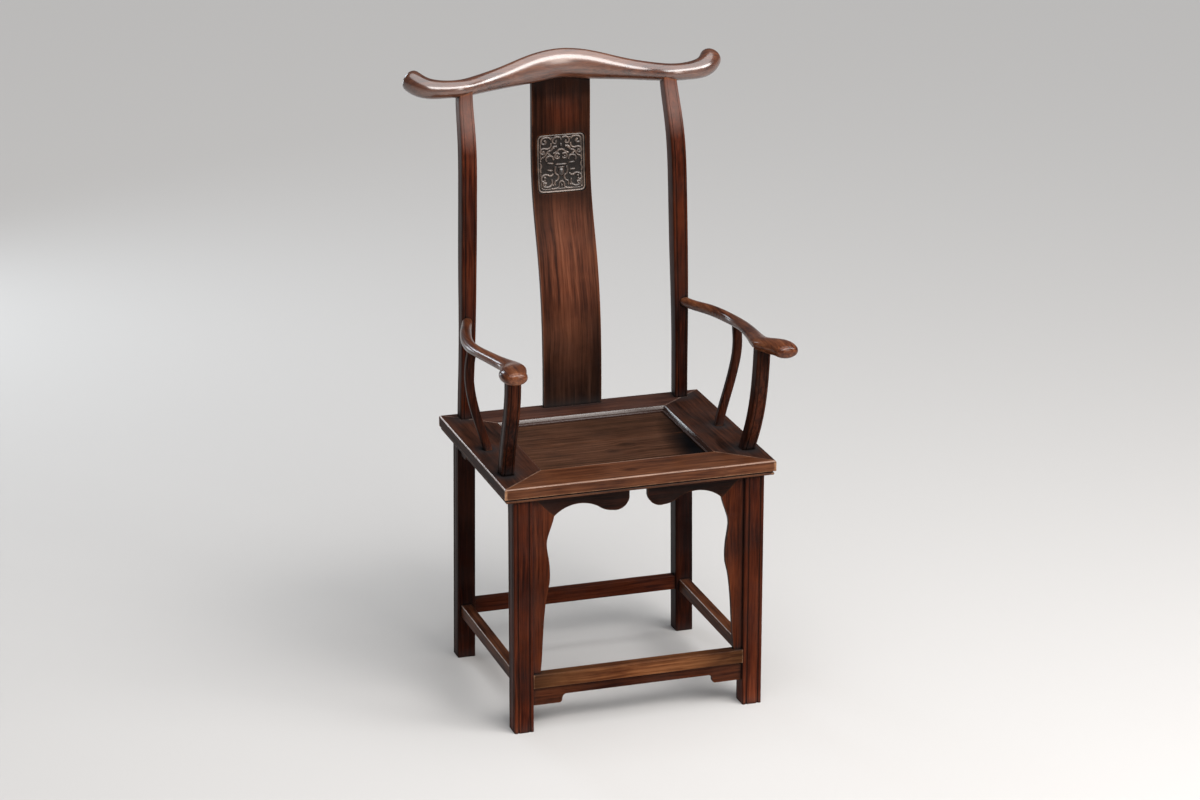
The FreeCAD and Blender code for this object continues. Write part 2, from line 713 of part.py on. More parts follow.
# Front legs: square, beaded on the two outer faces, with a short tenon up into the
# seat frame and a groove for the upright apron.
def front_legs():
    half = s.front_leg_width / 2
    outline = rounded(-half, half, -half, half, s.leg_round, s.leg_bead, s.leg_quirk,
                      ("front", "right"))
    leg = prism("FrontLegBar", outline, front_leg_x, front_leg_y, zero, rail_bottom)
    tenon = block("FrontLegTenon", front_leg_x - s.leg_tenon / 2, front_leg_x + s.leg_tenon / 2,
                  front_leg_y - s.leg_tenon / 2, front_leg_y + s.leg_tenon / 2, rail_bottom,
                  rail_bottom + s.leg_tenon_height)
    mortises = join(
        "FrontMortises",
        socket("FrontMortise", front_leg_inner - over,
               front_leg_inner + s.stretcher_tenon_length, *front_tenon_y, *front_tenon_z),
        socket("SideMortise", *side_tenon_x, front_leg_y1 - s.stretcher_tenon_length,
               front_leg_y1 + over, *side_tenon_z),
        socket("ApronGroove", front_leg_inner - over, front_leg_inner + s.apron_tongue_reach,
               apron_y - half_tongue, apron_y + half_tongue, s.front_stretcher_top,
               rail_bottom))
    right = cut("front_leg_right", join("FrontLegJoined", leg, tenon), mortises)
    keep(right, mirrored("front_leg_left", right))


front_legs()


# Seat frame: four rails, mitred at the corners, with a moulded outer edge, a sloped
# and beaded inner edge, and a groove for the panel.
def moulded_rail(label, plan, plane, outer, inner, inward, low, high):
    body = new_body(label)
    feature(body, "Pad", "XY_Plane", plan, rail_bottom, seat_top)

    def from_edge(depth, z):
        return outer + depth * inward, z

    def from_opening(depth, z):
        return inner - depth * inward, z

    fascia = seat_top - s.edge_fascia
    bead_top = fascia - s.edge_quirk
    bead_low = s.edge_bead_inset + s.edge_bead_round
    feature(body, "Pocket", plane, [
        from_edge(-over, seat_top + over),
        from_edge(s.edge_round, seat_top + over),
        from_edge(s.edge_round, seat_top),
        arc(from_edge(s.edge_round * round_share, seat_top - s.edge_round * round_share),
            from_edge(zero, seat_top - s.edge_round)),
        from_edge(zero, fascia),
        from_edge(s.edge_quirk_depth, fascia),
        from_edge(s.edge_quirk_depth, bead_top),
        from_edge(bead_low, bead_top),
        arc(from_edge(s.edge_bead_inset, (bead_top + rail_bottom) / 2),
            from_edge(bead_low, rail_bottom)),
        from_edge(bead_low, rail_bottom - over),
        from_edge(-over, rail_bottom - over)], low - over, high + over)
    slope_low = seat_top - s.inner_slope_drop
    feature(body, "Pocket", plane, [
        from_opening(-over, seat_top + over),
        from_opening(s.inner_slope_run, seat_top + over),
        from_opening(s.inner_slope_run, seat_top),
        from_opening(s.inner_slope_run / 2, slope_low),
        from_opening(s.inner_slope_run / 2, slope_low - s.inner_bead / 2),
        from_opening(zero, slope_low - s.inner_bead),
        from_opening(-over, slope_low - s.inner_bead)], low - over, high + over)
    feature(body, "Pocket", plane, rectangle(
        *sorted_pair(from_opening(-over, zero)[0],
                     from_opening(s.panel_tongue_reach + gap, zero)[0]),
        tongue_low - gap, tongue_high + gap), low - over, high + over)
    return body


def sorted_pair(one, other):
    return (one, other) if one.value < other.value else (other, one)


corner_tenon_x = half_width - s.corner_tenon_depth - (s.side_rail_width - s.corner_tenon_reach)
corner_tenon_z1 = seat_top - s.corner_tenon_depth
corner_tenon_z0 = corner_tenon_z1 - s.corner_tenon_thickness
front_tenon_span = (opening_front - s.corner_tenon_inset - s.corner_tenon_width,
                    opening_front - s.corner_tenon_inset)
back_tenon_span = (opening_back + s.corner_tenon_inset,
                   opening_back + s.corner_tenon_inset + s.corner_tenon_width)
neck_hole = (post_x - s.post_width / 2 - gap, post_x + s.post_width / 2 + gap,
             post_front - gap, post_front + s.post_depth + gap)
leg_hole = (front_leg_x - s.leg_tenon / 2 - gap, front_leg_x + s.leg_tenon / 2 + gap,
            front_leg_y - s.leg_tenon / 2 - gap, front_leg_y + s.leg_tenon / 2 + gap)
brace_middles = (-s.brace_spacing / 2, s.brace_spacing / 2)


def both_sides(x0, x1, y0, y1):
    return rectangle(x0, x1, y0, y1), rectangle(-x1, -x0, y0, y1)


def long_rail(label, plan, outer, inner, inward, tenon_span):
    body = moulded_rail(label, plan, "YZ_Plane", outer, inner, inward, -half_width, half_width)
    feature(body, "Pad", "XY_Plane",
            rectangle(-corner_tenon_x, corner_tenon_x, *tenon_span),
            corner_tenon_z0, corner_tenon_z1)
    reach = inner - (s.brace_tenon_reach + gap) * inward
    for middle in brace_middles:
        feature(body, "Pocket", "XY_Plane",
                rectangle(middle - s.brace_width / 2 - gap, middle + s.brace_width / 2 + gap,
                          *sorted_pair(inner + over * inward, reach)),
                panel_bottom - s.brace_tenon - gap, panel_bottom + gap)
    return body


def seat_frame():
    front = long_rail("seat_rail_front",
                      [(-half_width, seat_front), (half_width, seat_front),
                       (opening_x, opening_front), (-opening_x, opening_front)],
                      seat_front, opening_front, 1, front_tenon_span)
    for hole in both_sides(*leg_hole):
        feature(front, "Pocket", "XY_Plane", hole, rail_bottom,
                rail_bottom + s.leg_tenon_height + gap)
    apron_groove = rectangle(-front_leg_inner, front_leg_inner, apron_y - half_tongue - gap,
                             apron_y + half_tongue + gap)
    feature(front, "Pocket", "XY_Plane", apron_groove, rail_bottom,
            rail_bottom + s.apron_tongue_reach + gap)

    back = long_rail("seat_rail_back",
                     [(-opening_x, opening_back), (opening_x, opening_back),
                      (half_width, seat_back), (-half_width, seat_back)],
                     seat_back, opening_back, -1, back_tenon_span)
    for hole in both_sides(*neck_hole):
        feature(back, "Pocket", "XY_Plane", hole, rail_bottom, seat_top)
    feature(back, "Pocket", "XY_Plane",
            rectangle(-splat_half - gap, splat_half + gap, splat_foot_y - gap,
                      splat_foot_y + s.splat_thickness + gap),
            seat_top - s.splat_foot_depth - gap, seat_top)
    feature(back, "Pocket", "XY_Plane",
            rectangle(-rear_apron_end, rear_apron_end, rear_apron_y - half_tongue - gap,
                      rear_apron_y + half_tongue + gap),
            rail_bottom, rail_bottom + s.apron_tongue_reach + gap)

    right = moulded_rail("seat_rail_right",
                         [(half_width, seat_front), (half_width, seat_back),
                          (opening_x, opening_back), (opening_x, opening_front)],
                         "XZ_Plane", half_width, opening_x, -1, seat_front, seat_back)
    for low, high in (front_tenon_span, back_tenon_span):
        feature(right, "Pocket", "XY_Plane",
                rectangle(opening_x - over, corner_tenon_x + gap, low - gap, high + gap),
                corner_tenon_z0 - gap, corner_tenon_z1 + gap)
    feature(right, "Pocket", "XY_Plane", rectangle(*neck_hole), rail_bottom, seat_top)
    feature(right, "Pocket", "XY_Plane", rectangle(*leg_hole), rail_bottom,
            rail_bottom + s.leg_tenon_height + gap)
    feature(right, "Pocket", "XY_Plane",
            rectangle(side_apron_x - half_tongue - gap, side_apron_x + half_tongue + gap,
                      front_leg_y1, rear_leg_y0),
            rail_bottom, rail_bottom + s.apron_tongue_reach + gap)
    for foot, tenon in ((front_post_foot, s.front_post_tenon),
                        (side_post_foot, s.side_post_tenon)):
        bore(right, *foot, tenon + gap * 2, seat_top - s.foot_tenon_length - gap, seat_top)
    keep(front, back, right, mirrored("seat_rail_left", right))


rear_apron_end = rear_leg_outer_at(rail_bottom) - s.rear_leg_width
seat_frame()


# Seat panel: two boards, tongued into the frame and into each other, carried by two
# braces whose dovetails slide into the boards from the front.
board_seam_share = 0.54
seam = opening_front + (opening_back - opening_front) * board_seam_share


def brace_outline(middle, slack):
    half = s.dovetail_width / 2 + slack
    wide = half + s.dovetail_flare
    top = panel_bottom + s.dovetail_height + slack
    edge = s.brace_width / 2
    low = panel_bottom - s.brace_thickness
    return [(middle - edge, low), (middle + edge, low), (middle + edge, panel_bottom),
            (middle + half, panel_bottom), (middle + wide, top), (middle - wide, top),
            (middle - half, panel_bottom), (middle - edge, panel_bottom)]


def seat_boards():
    side = opening_x - gap
    side_tongue = opening_x + s.panel_tongue_reach
    grooves = []
    for middle in brace_middles:
        void = new_body("DovetailVoid")
        feature(void, "Pad", "XZ_Plane", brace_outline(middle, gap), opening_front - over,
                opening_back + over)
        grooves.append(void)
    dovetails = join("DovetailVoids", *grooves)
    front = join("FrontBoard",
                 block("FrontPlank", -side, side, opening_front + gap, seam, panel_bottom,
                       panel_top),
                 block("FrontTongue", -side_tongue, side_tongue,
                       opening_front - s.panel_tongue_reach, seam + s.board_lap, tongue_low,
                       tongue_high))
    back = join("BackBoard",
                block("BackPlank", -side, side, seam + gap, opening_back - gap, panel_bottom,
                      panel_top),
                block("BackTongue", -side_tongue, side_tongue, seam + gap,
                      opening_back + s.panel_tongue_reach, tongue_low, tongue_high))
    lap = socket("LapGroove", -side_tongue - over, side_tongue + over, seam - over,
                 seam + s.board_lap, tongue_low, tongue_high)
    keep(cut("seat_board_front", front, dovetails),
         cut("seat_board_back", back, join("BackVoids", dovetails, lap)))


def seat_braces():
    for middle, label in zip(brace_middles, ("seat_brace_left", "seat_brace_right")):
        brace = new_body(label)
        feature(brace, "Pad", "XZ_Plane", brace_outline(middle, zero), opening_front + gap,
                opening_back - gap)
        feature(brace, "Pad", "XZ_Plane",
                rectangle(middle - s.brace_width / 2, middle + s.brace_width / 2,
                          panel_bottom - s.brace_tenon, panel_bottom),
                opening_front - s.brace_tenon_reach, opening_back + s.brace_tenon_reach)
        keep(brace)


seat_boards()
seat_braces()


# Stretchers: the front one is the footrest.
def stretcher(label, plane, across, heights, tenon_across, tenon_z, low, high):
    body = new_body(label)
    feature(body, "Pad", plane, rounded(*across, *heights, s.stretcher_round), low, high)
    feature(body, "Pad", plane, rectangle(*tenon_across, *tenon_z),
            low - s.stretcher_tenon_length, high + s.stretcher_tenon_length)
    return body


def stretchers():
    front = stretcher("front_stretcher", "YZ_Plane", (front_stretcher_y0, front_stretcher_y1),
                      (front_stretcher_z0, s.front_stretcher_top), front_tenon_y,
                      front_tenon_z, -front_leg_inner, front_leg_inner)
    feature(front, "Pocket", "XY_Plane",
            rectangle(-front_leg_inner - over, front_leg_inner + over,
                      apron_y - half_tongue - gap, apron_y + half_tongue + gap),
            front_stretcher_z0, front_stretcher_z0 + s.apron_tongue_reach + gap)
    rear = stretcher("rear_stretcher", "YZ_Plane", (rear_stretcher_y0, rear_stretcher_y1),
                     (rear_stretcher_z0, s.rear_stretcher_top), rear_tenon_y,
                     rear_tenon_z, -rear_stretcher_end, rear_stretcher_end)
    side = stretcher("side_stretcher_right", "XZ_Plane",
                     (side_stretcher_x0, side_stretcher_x1),
                     (side_stretcher_z0, s.side_stretcher_top), side_tenon_x, side_tenon_z,
                     front_leg_y1, rear_leg_y0)
    keep(front, rear, side, mirrored("side_stretcher_left", side))


stretchers()

# Front aprons: two scrolled half boards under the seat, parted at the middle, each
# mitred to an upright board beside the leg. Shares of the half span and the depth.
apron_lobe_shares = ((0.00, 0.44), (0.06, 0.85), (0.215, 1.00), (0.32, 0.925), (0.416, 0.73),
                     (0.68, 0.49), (1.00, 0.985))
upright_edge_shares = (
    (0.905, 0.79), (0.841, 0.67), (0.746, 0.735), (0.635, 0.805), (0.571, 0.775),
    (0.514, 0.68), (0.444, 0.60), (0.286, 0.50), (0.000, 0.365))
mitre_head_share = 0.09
cusp_x = front_leg_inner - s.upright_apron_width
cusp_z = rail_bottom - s.apron_depth * apron_lobe_shares[-1][1]
mitre_head_x = front_leg_inner - s.upright_apron_width * mitre_head_share


def front_aprons():
    half_cleft = s.apron_cleft / 2
    lobe = [(half_cleft + (cusp_x - half_cleft) * along, rail_bottom - s.apron_depth * down)
            for along, down in apron_lobe_shares]
    top = new_body("front_apron_right")
    feature(top, "Pad", "XZ_Plane",
            [(half_cleft, rail_bottom), lobe[0], arc(lobe[1], lobe[2]), arc(lobe[3], lobe[4]),
             arc(lobe[5], lobe[6]), (mitre_head_x, rail_bottom)], apron_y0, apron_y1)
    feature(top, "Pad", "XZ_Plane",
            rectangle(half_cleft, mitre_head_x, rail_bottom,
                      rail_bottom + s.apron_tongue_reach),
            apron_y - half_tongue, apron_y + half_tongue)
    foot_z = s.front_stretcher_top
    edge = [(front_leg_inner - s.upright_apron_width * wide, foot_z + (cusp_z - foot_z) * high)
            for high, wide in upright_edge_shares]
    upright = new_body("front_side_apron_right")
    feature(upright, "Pad", "XZ_Plane",
            [(mitre_head_x, rail_bottom), (cusp_x, cusp_z), curve(*edge),
             (front_leg_inner, foot_z), (front_leg_inner, rail_bottom)], apron_y0, apron_y1)
    feature(upright, "Pad", "XZ_Plane",
            rectangle(front_leg_inner - s.apron_tongue, front_leg_inner + s.apron_tongue_reach,
                      foot_z, rail_bottom), apron_y - half_tongue, apron_y + half_tongue)
    for piece in (top, upright):
        keep(piece, mirrored(piece.Label.replace("right", "left"), piece))


front_aprons()


# Aprons with a bracket at each end. Shares of the bracket's length and of the drop
# from the board's lower edge to the bracket's.
bracket_shares = ((0.82, 1.00), (0.89, 0.80), (0.90, 0.62), (0.93, 0.20), (1.00, 0.00))


def bracketed(low, high, top, depth, bracket_depth, bracket_length):
    foot = top - bracket_depth

    def turn(end, sign):
        return [(end + bracket_length * along * sign,
                 top - depth - (bracket_depth - depth) * down)
                for along, down in bracket_shares]

    first, last = turn(low, 1), turn(high, -1)
    return [(low, top), (low, foot), first[0], arc(first[1], first[2]),
            arc(first[3], first[4]), last[4], arc(last[3], last[2]), arc(last[1], last[0]),
            (high, foot), (high, top)]


def tongued_apron(label, plane, outline, across, low, high, top):
    body = new_body(label)
    feature(body, "Pad", plane, outline, *across)
    middle = (across[0] + across[1]) / 2
    feature(body, "Pad", plane, rectangle(low, high, top, top + s.apron_tongue_reach),
            middle - half_tongue, middle + half_tongue)
    return body


def lower_aprons():
    foot = tongued_apron(
        "front_stretcher_apron", "XZ_Plane",
        bracketed(-front_leg_inner, front_leg_inner, front_stretcher_z0, s.foot_apron_depth,
                  s.foot_bracket_depth, s.foot_bracket_length), (apron_y0, apron_y1),
        -front_leg_inner, front_leg_inner, front_stretcher_z0)
    rear = tongued_apron(
        "rear_apron", "XZ_Plane",
        bracketed(-rear_apron_end, rear_apron_end, rail_bottom, s.side_apron_depth,
                  s.side_bracket_depth, s.side_bracket_length),
        (rear_apron_y0, rear_apron_y1), -rear_apron_end, rear_apron_end, rail_bottom)
    side = tongued_apron(
        "side_apron_right", "YZ_Plane",
        bracketed(front_leg_y1, rear_leg_y0, rail_bottom, s.side_apron_depth,
                  s.side_bracket_depth, s.side_bracket_length),
        (side_apron_x0, side_apron_x1), front_leg_y1, rear_leg_y0, rail_bottom)
    keep(foot, rear, side, mirrored("side_apron_left", side))


lower_aprons()

doc.recompute()
for item in doc.Objects:
    if "Invalid" in item.State or "Error" in item.State:
        raise RuntimeError(f"{item.Label} failed: {item.State}")
for piece in pieces:
    if piece.Shape.isNull() or not piece.Shape.isValid():
        raise RuntimeError(f"{piece.Label} has no valid shape")
for piece in pieces:
    piece.Shape.exportStep(f"parts/{piece.Label}.step")
    print(f"{piece.Label}: {len(piece.Shape.Solids)} solid, {piece.Shape.Volume / 1000:.1f} cm3")
print(len(pieces), "pieces")
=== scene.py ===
from math import cos, pi, radians, sin

import bmesh
import bpy
from mathutils import Matrix, Vector
from mathutils.bvhtree import BVHTree


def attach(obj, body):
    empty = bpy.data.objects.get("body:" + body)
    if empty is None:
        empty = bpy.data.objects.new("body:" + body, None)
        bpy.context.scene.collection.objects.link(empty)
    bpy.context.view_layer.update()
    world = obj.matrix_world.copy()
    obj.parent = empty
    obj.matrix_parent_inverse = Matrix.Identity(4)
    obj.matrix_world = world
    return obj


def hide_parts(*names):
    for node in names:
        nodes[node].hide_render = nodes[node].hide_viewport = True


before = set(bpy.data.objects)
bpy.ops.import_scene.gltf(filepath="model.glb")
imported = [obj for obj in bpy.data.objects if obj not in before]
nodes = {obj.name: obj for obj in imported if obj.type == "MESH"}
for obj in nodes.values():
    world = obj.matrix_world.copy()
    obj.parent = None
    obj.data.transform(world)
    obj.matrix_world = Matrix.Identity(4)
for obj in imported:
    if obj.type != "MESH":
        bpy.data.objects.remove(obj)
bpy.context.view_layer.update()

print("frame loaded:", len(nodes), "nodes")

# the photograph's camera: metres, degrees, and millimetres for lens and sensor
photoCamera = {
    "place": (-2.1464, -6.55255, 2.9092),
    "yaw": 18.068,
    "pitch": 18.701,
    "roll": 0.07,
    "lens": 113.44,
    "sensor": 36,
    "farthest": 200,
}
levelPitch = 90


def aimCamera():
    data = bpy.data.cameras.new("photoCamera")
    data.lens = photoCamera["lens"]
    data.sensor_width = photoCamera["sensor"]
    data.sensor_fit = "HORIZONTAL"
    data.clip_end = photoCamera["farthest"]
    camera = bpy.data.objects.new("photoCamera", data)
    bpy.context.scene.collection.objects.link(camera)
    turn = (Matrix.Rotation(radians(-photoCamera["yaw"]), 4, "Z")
            @ Matrix.Rotation(radians(levelPitch - photoCamera["pitch"]), 4, "X")
            @ Matrix.Rotation(radians(photoCamera["roll"]), 4, "Z"))
    camera.matrix_world = Matrix.Translation(photoCamera["place"]) @ turn
    bpy.context.scene.camera = camera


aimCamera()
print("camera placed")

# studio: a pale floor under an even skylight, and soft boxes
studio = {
    "floorSize": 60.0,
    "floorTone": (0.555, 0.545, 0.535),
    "floorRoughness": 0.9,
    "surround": (0.84, 0.86, 0.90),
    "surroundLevel": 0.12,
    "skylight": 2.5,
    "skylightSpread": 75,
    "skylightTurn": (18, 0, 20),
}
softBoxes = {
    # name: place, aim, width, height, watts, tint
    "frontRight": ((1.2, -3.3, 1.7), (0.0, 0.0, 0.6), 0.8, 1.8, 20, (1.0, 0.94, 0.88)),
    "key": ((0.85, -2.3, 2.6), (0.0, 0.2, 1.1), 3.0, 1.1, 86, (1.0, 0.97, 0.95)),
    "sideKey": ((2.35, -1.7, 2.35), (0.2, 0.2, 1.1), 1.1, 1.0, 30, (1.0, 0.98, 0.96)),
    "backLeft": ((-1.0, 3.1, 1.85), (0.0, 0.0, 0.7), 0.5, 0.8, 12, (0.80, 0.90, 1.0)),
    "lowBack": ((-1.45, 3.2, 0.75), (0.1, 0.0, 0.5), 0.5, 0.7, 7, (0.86, 0.94, 1.0)),
}


def linkPiece(name, mesh):
    piece = bpy.data.objects.new(name, mesh)
    bpy.context.scene.collection.objects.link(piece)
    return piece


def newMaterial(name):
    material = bpy.data.materials.new(name)
    material.use_nodes = True
    tree = material.node_tree
    tree.nodes.clear()
    output = tree.nodes.new("ShaderNodeOutputMaterial")
    shader = tree.nodes.new("ShaderNodeBsdfPrincipled")
    tree.links.new(shader.outputs[0], output.inputs[0])
    return material, tree, shader


def layFloor():
    bm = bmesh.new()
    bmesh.ops.create_grid(bm, x_segments=1, y_segments=1, size=studio["floorSize"] / 2)
    mesh = bpy.data.meshes.new("studioFloor")
    bm.to_mesh(mesh)
    bm.free()
    floor = linkPiece("studioFloor", mesh)
    material, tree, shader = newMaterial("palePaper")
    shader.inputs["Base Color"].default_value = (*studio["floorTone"], 1)
    shader.inputs["Roughness"].default_value = studio["floorRoughness"]
    mesh.materials.append(material)


def hangLamps():
    for name, (place, aim, width, height, watts, tint) in softBoxes.items():
        data = bpy.data.lights.new(name, "AREA")
        data.shape = "RECTANGLE"
        data.size, data.size_y = width, height
        data.energy = watts
        data.color = tint
        lamp = linkPiece(name, data)
        lamp.location = place
        lamp.rotation_euler = (Vector(aim) - Vector(place)).to_track_quat("-Z", "Y").to_euler()
    data = bpy.data.lights.new("skylight", "SUN")
    data.energy = studio["skylight"]
    data.angle = radians(studio["skylightSpread"])
    skylight = linkPiece("skylight", data)
    skylight.rotation_euler = [radians(turn) for turn in studio["skylightTurn"]]


def lightSurround():
    world = bpy.data.worlds.new("studioSurround")
    world.use_nodes = True
    glow = world.node_tree.nodes["Background"]
    glow.inputs["Color"].default_value = (*studio["surround"], 1)
    glow.inputs["Strength"].default_value = studio["surroundLevel"]
    bpy.context.scene.world = world


layFloor()
hangLamps()
lightSurround()
bpy.context.scene.view_settings.view_transform = "Standard"
print("studio lit")

# lacquered wood: streaks along the grain over broad figure, a grey film in patches,
# lighter edges that are partly wear and partly painted highlight, blue-grey residue and
# painted shade in the joints and corners, and painted shade, black, in the grooves
lacquer = {
    "dark": (0.009, 0.0020, 0.0011),
    "mid": (0.036, 0.0064, 0.0026),
    "light": (0.085, 0.0190, 0.0070),
    # the lighter edge tone, with its amount further down: edge wear on most woods, a painted
    # highlight line on the seat rails
    "worn": (0.22, 0.075, 0.028),
    # blue-grey residue tone, laid into corners and joints also as painted shade
    "residue": (0.024, 0.023, 0.024),
    # near-black tone, with its amount (depth) further down: painted shade in grooves and hollows
    "groove": (0.0040, 0.0026, 0.0022),
    "film": 0.16,
    "wear": 0.6,
    "grime": 0.9,
    "depth": 0.9,
    "roughness": 0.36,
    "specular": 0.03,
    "coat": 0.02,
    "coatRoughness": 0.2,
    "coatIor": 1.5,
    "bump": 0.25,
}
grainTurns = {"x": (0.03, 1, 1), "y": (1, 0.03, 1), "z": (1, 1, 0.03), "board": (1, 0.04, 0.03)}
lineNoises = {
    # noises stretched along the grain: scale, detail, roughness, distortion
    "streaks": (170.0, 4.0, 0.6, 0.0),
    "fineLines": (430.0, 3.0, 0.6, 0.0),
    "figure": (22.0, 3.0, 0.55, 0.3),
    "pores": (620.0, 2.0, 0.5, 0.0),
}
spotNoises = {
    # noises even in all directions: scale, detail, roughness, distortion
    "blotches": (8.0, 4.0, 0.62, 0.0),
    "clouds": (4.2, 3.0, 0.6, 0.0),
    "films": (13.0, 5.0, 0.65, 0.0),
    "chips": (60.0, 4.0, 0.6, 0.0),
}
grainShares = {"streaks": 0.42, "fineLines": 0.24, "figure": 0.34}
grainPlaces = (0.41, 0.50, 0.60)
filmPlaces = (0.44, 0.66)
amounts = {
    # name: two places in a noise, and the amount at each
    "lightBlotches": ((0.42, 0.0), (0.70, 0.5)),
    "darkClouds": ((0.30, 0.55), (0.50, 0.0)),
    "darkPores": ((0.30, 0.5), (0.42, 0.0)),
    "chipped": ((0.34, 0.15), (0.62, 1.0)),
    "dirtyBlotches": ((0.30, 0.6), (0.58, 1.0)),
}
shades = {
    # name: reach in metres, the openness with the full effect, and the one with none
    # rim finds the edges that take the lighter edge tone: wear, and painted highlight lines
    "rim": (0.0045, 0.30, 0.72),
    # corner: residue and painted shade in joints, corners and under the crest
    "corner": (0.032, 0.30, 0.86),
    # hollow: painted shade in grooves and hollows
    "hollow": (0.006, 0.40, 0.88),
}
shadeSamples = 6
sway = {"scale": 6.0, "reach": 0.012}
knotLook = {"bendStart": 2.6, "bendEnd": 0.4, "squash": 0.45, "core": 0.25, "darkness": 0.8}
patchCore = 0.3
gloss = {"blotches": 0.18, "offset": 0.09, "dirt": 0.22}
relief = {"reach": 0.0006, "blotches": 1.4, "fineLines": 0.5}
# a ramp holds tones up to 1, so shares of a tone are kept in it as parts of this
toneTop = 4.0


class Wiring:
    # short calls for a material's node tree
    def __init__(self, tree):
        self.tree = tree

    def add(self, kind, **settings):
        node = self.tree.nodes.new("ShaderNode" + kind)
        for key, value in settings.items():
            setattr(node, key, value)
        return node

    def feed(self, target, value):
        # links an output, or sets a colour or a number
        if isinstance(value, tuple):
            target.default_value = (*value, 1) if target.type == "RGBA" else value
        elif isinstance(value, (int, float)):
            target.default_value = value
        else:
            self.tree.links.new(value, target)

    def noise(self, settings, spot):
        node = self.add("TexNoise")
        for key, value in zip(("Scale", "Detail", "Roughness", "Distortion"), settings):
            node.inputs[key].default_value = value
        self.feed(node.inputs["Vector"], spot)
        return node.outputs["Fac"]

    def ramp(self, level, *stops):
        node = self.add("ValToRGB")
        marks = node.color_ramp.elements
        while len(marks) < len(stops):
            marks.new(0.5)
        for mark, (place, tone) in zip(marks, stops):
            mark.position = place
            mark.color = (*tone, 1) if isinstance(tone, tuple) else (tone, tone, tone, 1)
        self.feed(node.inputs[0], level)
        return node.outputs["Color"]

    def blend(self, amount, one, other, kind="MIX"):
        node = self.add("Mix", data_type="RGBA", blend_type=kind)
        for number, value in ((0, amount), (6, one), (7, other)):
            self.feed(node.inputs[number], value)
        return node.outputs[2]

    def scaled(self, tone, level, stops):
        # multiplies a tone by shares that change with a level
        parts = []
        for place, share in stops:
            share = share if isinstance(share, tuple) else (share, share, share)
            parts.append((place, tuple(channel / toneTop for channel in share)))
        tone = self.blend(1.0, tone, self.ramp(level, *parts), "MULTIPLY")
        return self.blend(1.0, tone, (toneTop, toneTop, toneTop), "MULTIPLY")

    def span(self, value, low, high, top=1.0):
        # 0 at low, top at high, and straight between them
        node = self.add("MapRange")
        node.inputs["From Min"].default_value = low
        node.inputs["From Max"].default_value = high
        node.inputs["To Max"].default_value = top
        self.feed(node.inputs["Value"], value)
        return node.outputs[0]

    def maths(self, kind, one, other=0.0):
        node = self.add("Math", operation=kind)
        self.feed(node.inputs[0], one)
        self.feed(node.inputs[1], other)
        return node.outputs[0]

    def vector(self, kind, *values):
        node = self.add("VectorMath", operation=kind)
        for target, value in zip(node.inputs, values):
            self.feed(target, value)
        return node.outputs["Value"] if kind == "LENGTH" else node.outputs[0]

    def shade(self, name, most, **settings):
        reach, full, none = shades[name]
        node = self.add("AmbientOcclusion", samples=shadeSamples, **settings)
        node.inputs["Distance"].default_value = reach
        return self.ramp(node.outputs["AO"], (full, most), (none, 0.0))


def knotDistance(w, spot, place, squash=1.0):
    away = w.vector("SUBTRACT", spot, place)
    return away, w.vector("LENGTH", w.vector("MULTIPLY", away, (squash, 1, 1)))


def patchLevel(w, spot, place, reach, amount):
    # how much of a soft oval patch shows here
    sized = w.vector("DIVIDE", w.vector("SUBTRACT", spot, place), reach)
    return w.span(w.vector("LENGTH", sized), 1.0, patchCore, amount)


def grainLines(w, spot, grain, knots):
    # the grain runs along one axis, sways a little, and parts round the knots
    warp = w.add("TexNoise")
    warp.inputs["Scale"].default_value = sway["scale"]
    w.feed(warp.inputs["Vector"], spot)
    reach = (sway["reach"], sway["reach"], sway["reach"])
    along = w.vector("MULTIPLY_ADD", warp.outputs["Color"], reach, spot)
    for place, size in knots:
        away, distance = knotDistance(w, spot, place)
        near = w.span(distance, size * knotLook["bendStart"], size * knotLook["bendEnd"])
        push = w.add("VectorMath", operation="SCALE")
        w.feed(push.inputs[0], away)
        w.feed(push.inputs["Scale"], near)
        along = w.vector("SUBTRACT", along, push.outputs[0])
    mapping = w.add("Mapping")
    mapping.inputs["Scale"].default_value = grainTurns[grain]
    w.feed(mapping.inputs["Vector"], along)
    return mapping.outputs[0]


def grainTone(w, look, seen, spot, knots):
    streaks, fineLines, figure = [
        w.maths("MULTIPLY", seen[name], share) for name, share in grainShares.items()]
    grain = w.maths("ADD", w.maths("ADD", streaks, fineLines), figure)
    tone = w.ramp(grain, *zip(grainPlaces, (look["dark"], look["mid"], look["light"])))
    tone = w.blend(w.ramp(seen["blotches"], *amounts["lightBlotches"]), tone, look["light"])
    tone = w.blend(w.ramp(seen["clouds"], *amounts["darkClouds"]), tone, look["dark"])
    tone = w.blend(w.ramp(seen["pores"], *amounts["darkPores"]), tone, look["dark"])
    for place, size in knots:
        distance = knotDistance(w, spot, place, knotLook["squash"])[1]
        core = w.span(distance, size, size * knotLook["core"], knotLook["darkness"])
        tone = w.blend(core, tone, look["dark"])
    return tone


def placedTone(w, tone, spot, heightTones, sideTones, patches, twinPatches):
    # tones that depend on the height, on the distance from the middle, and in patches; some woods
    # use them for painted shade and painted highlights
    axes = w.add("SeparateXYZ")
    w.feed(axes.inputs[0], spot)
    across, back, up = axes.outputs
    side = w.maths("ABSOLUTE", across)
    if heightTones:
        low, high, stops = heightTones
        tone = w.scaled(tone, w.span(up, low, high), stops)
    if sideTones:
        reach, stops = sideTones
        tone = w.scaled(tone, w.span(side, 0.0, reach), stops)
    mirrored = w.add("CombineXYZ")
    for target, value in zip(mirrored.inputs, (side, back, up)):
        w.feed(target, value)
    for where, group in ((spot, patches), (mirrored.outputs[0], twinPatches)):
        for place, reach, amount, kind, patchTone in group:
            tone = w.blend(patchLevel(w, where, place, reach, amount), tone, patchTone, kind)
    return tone


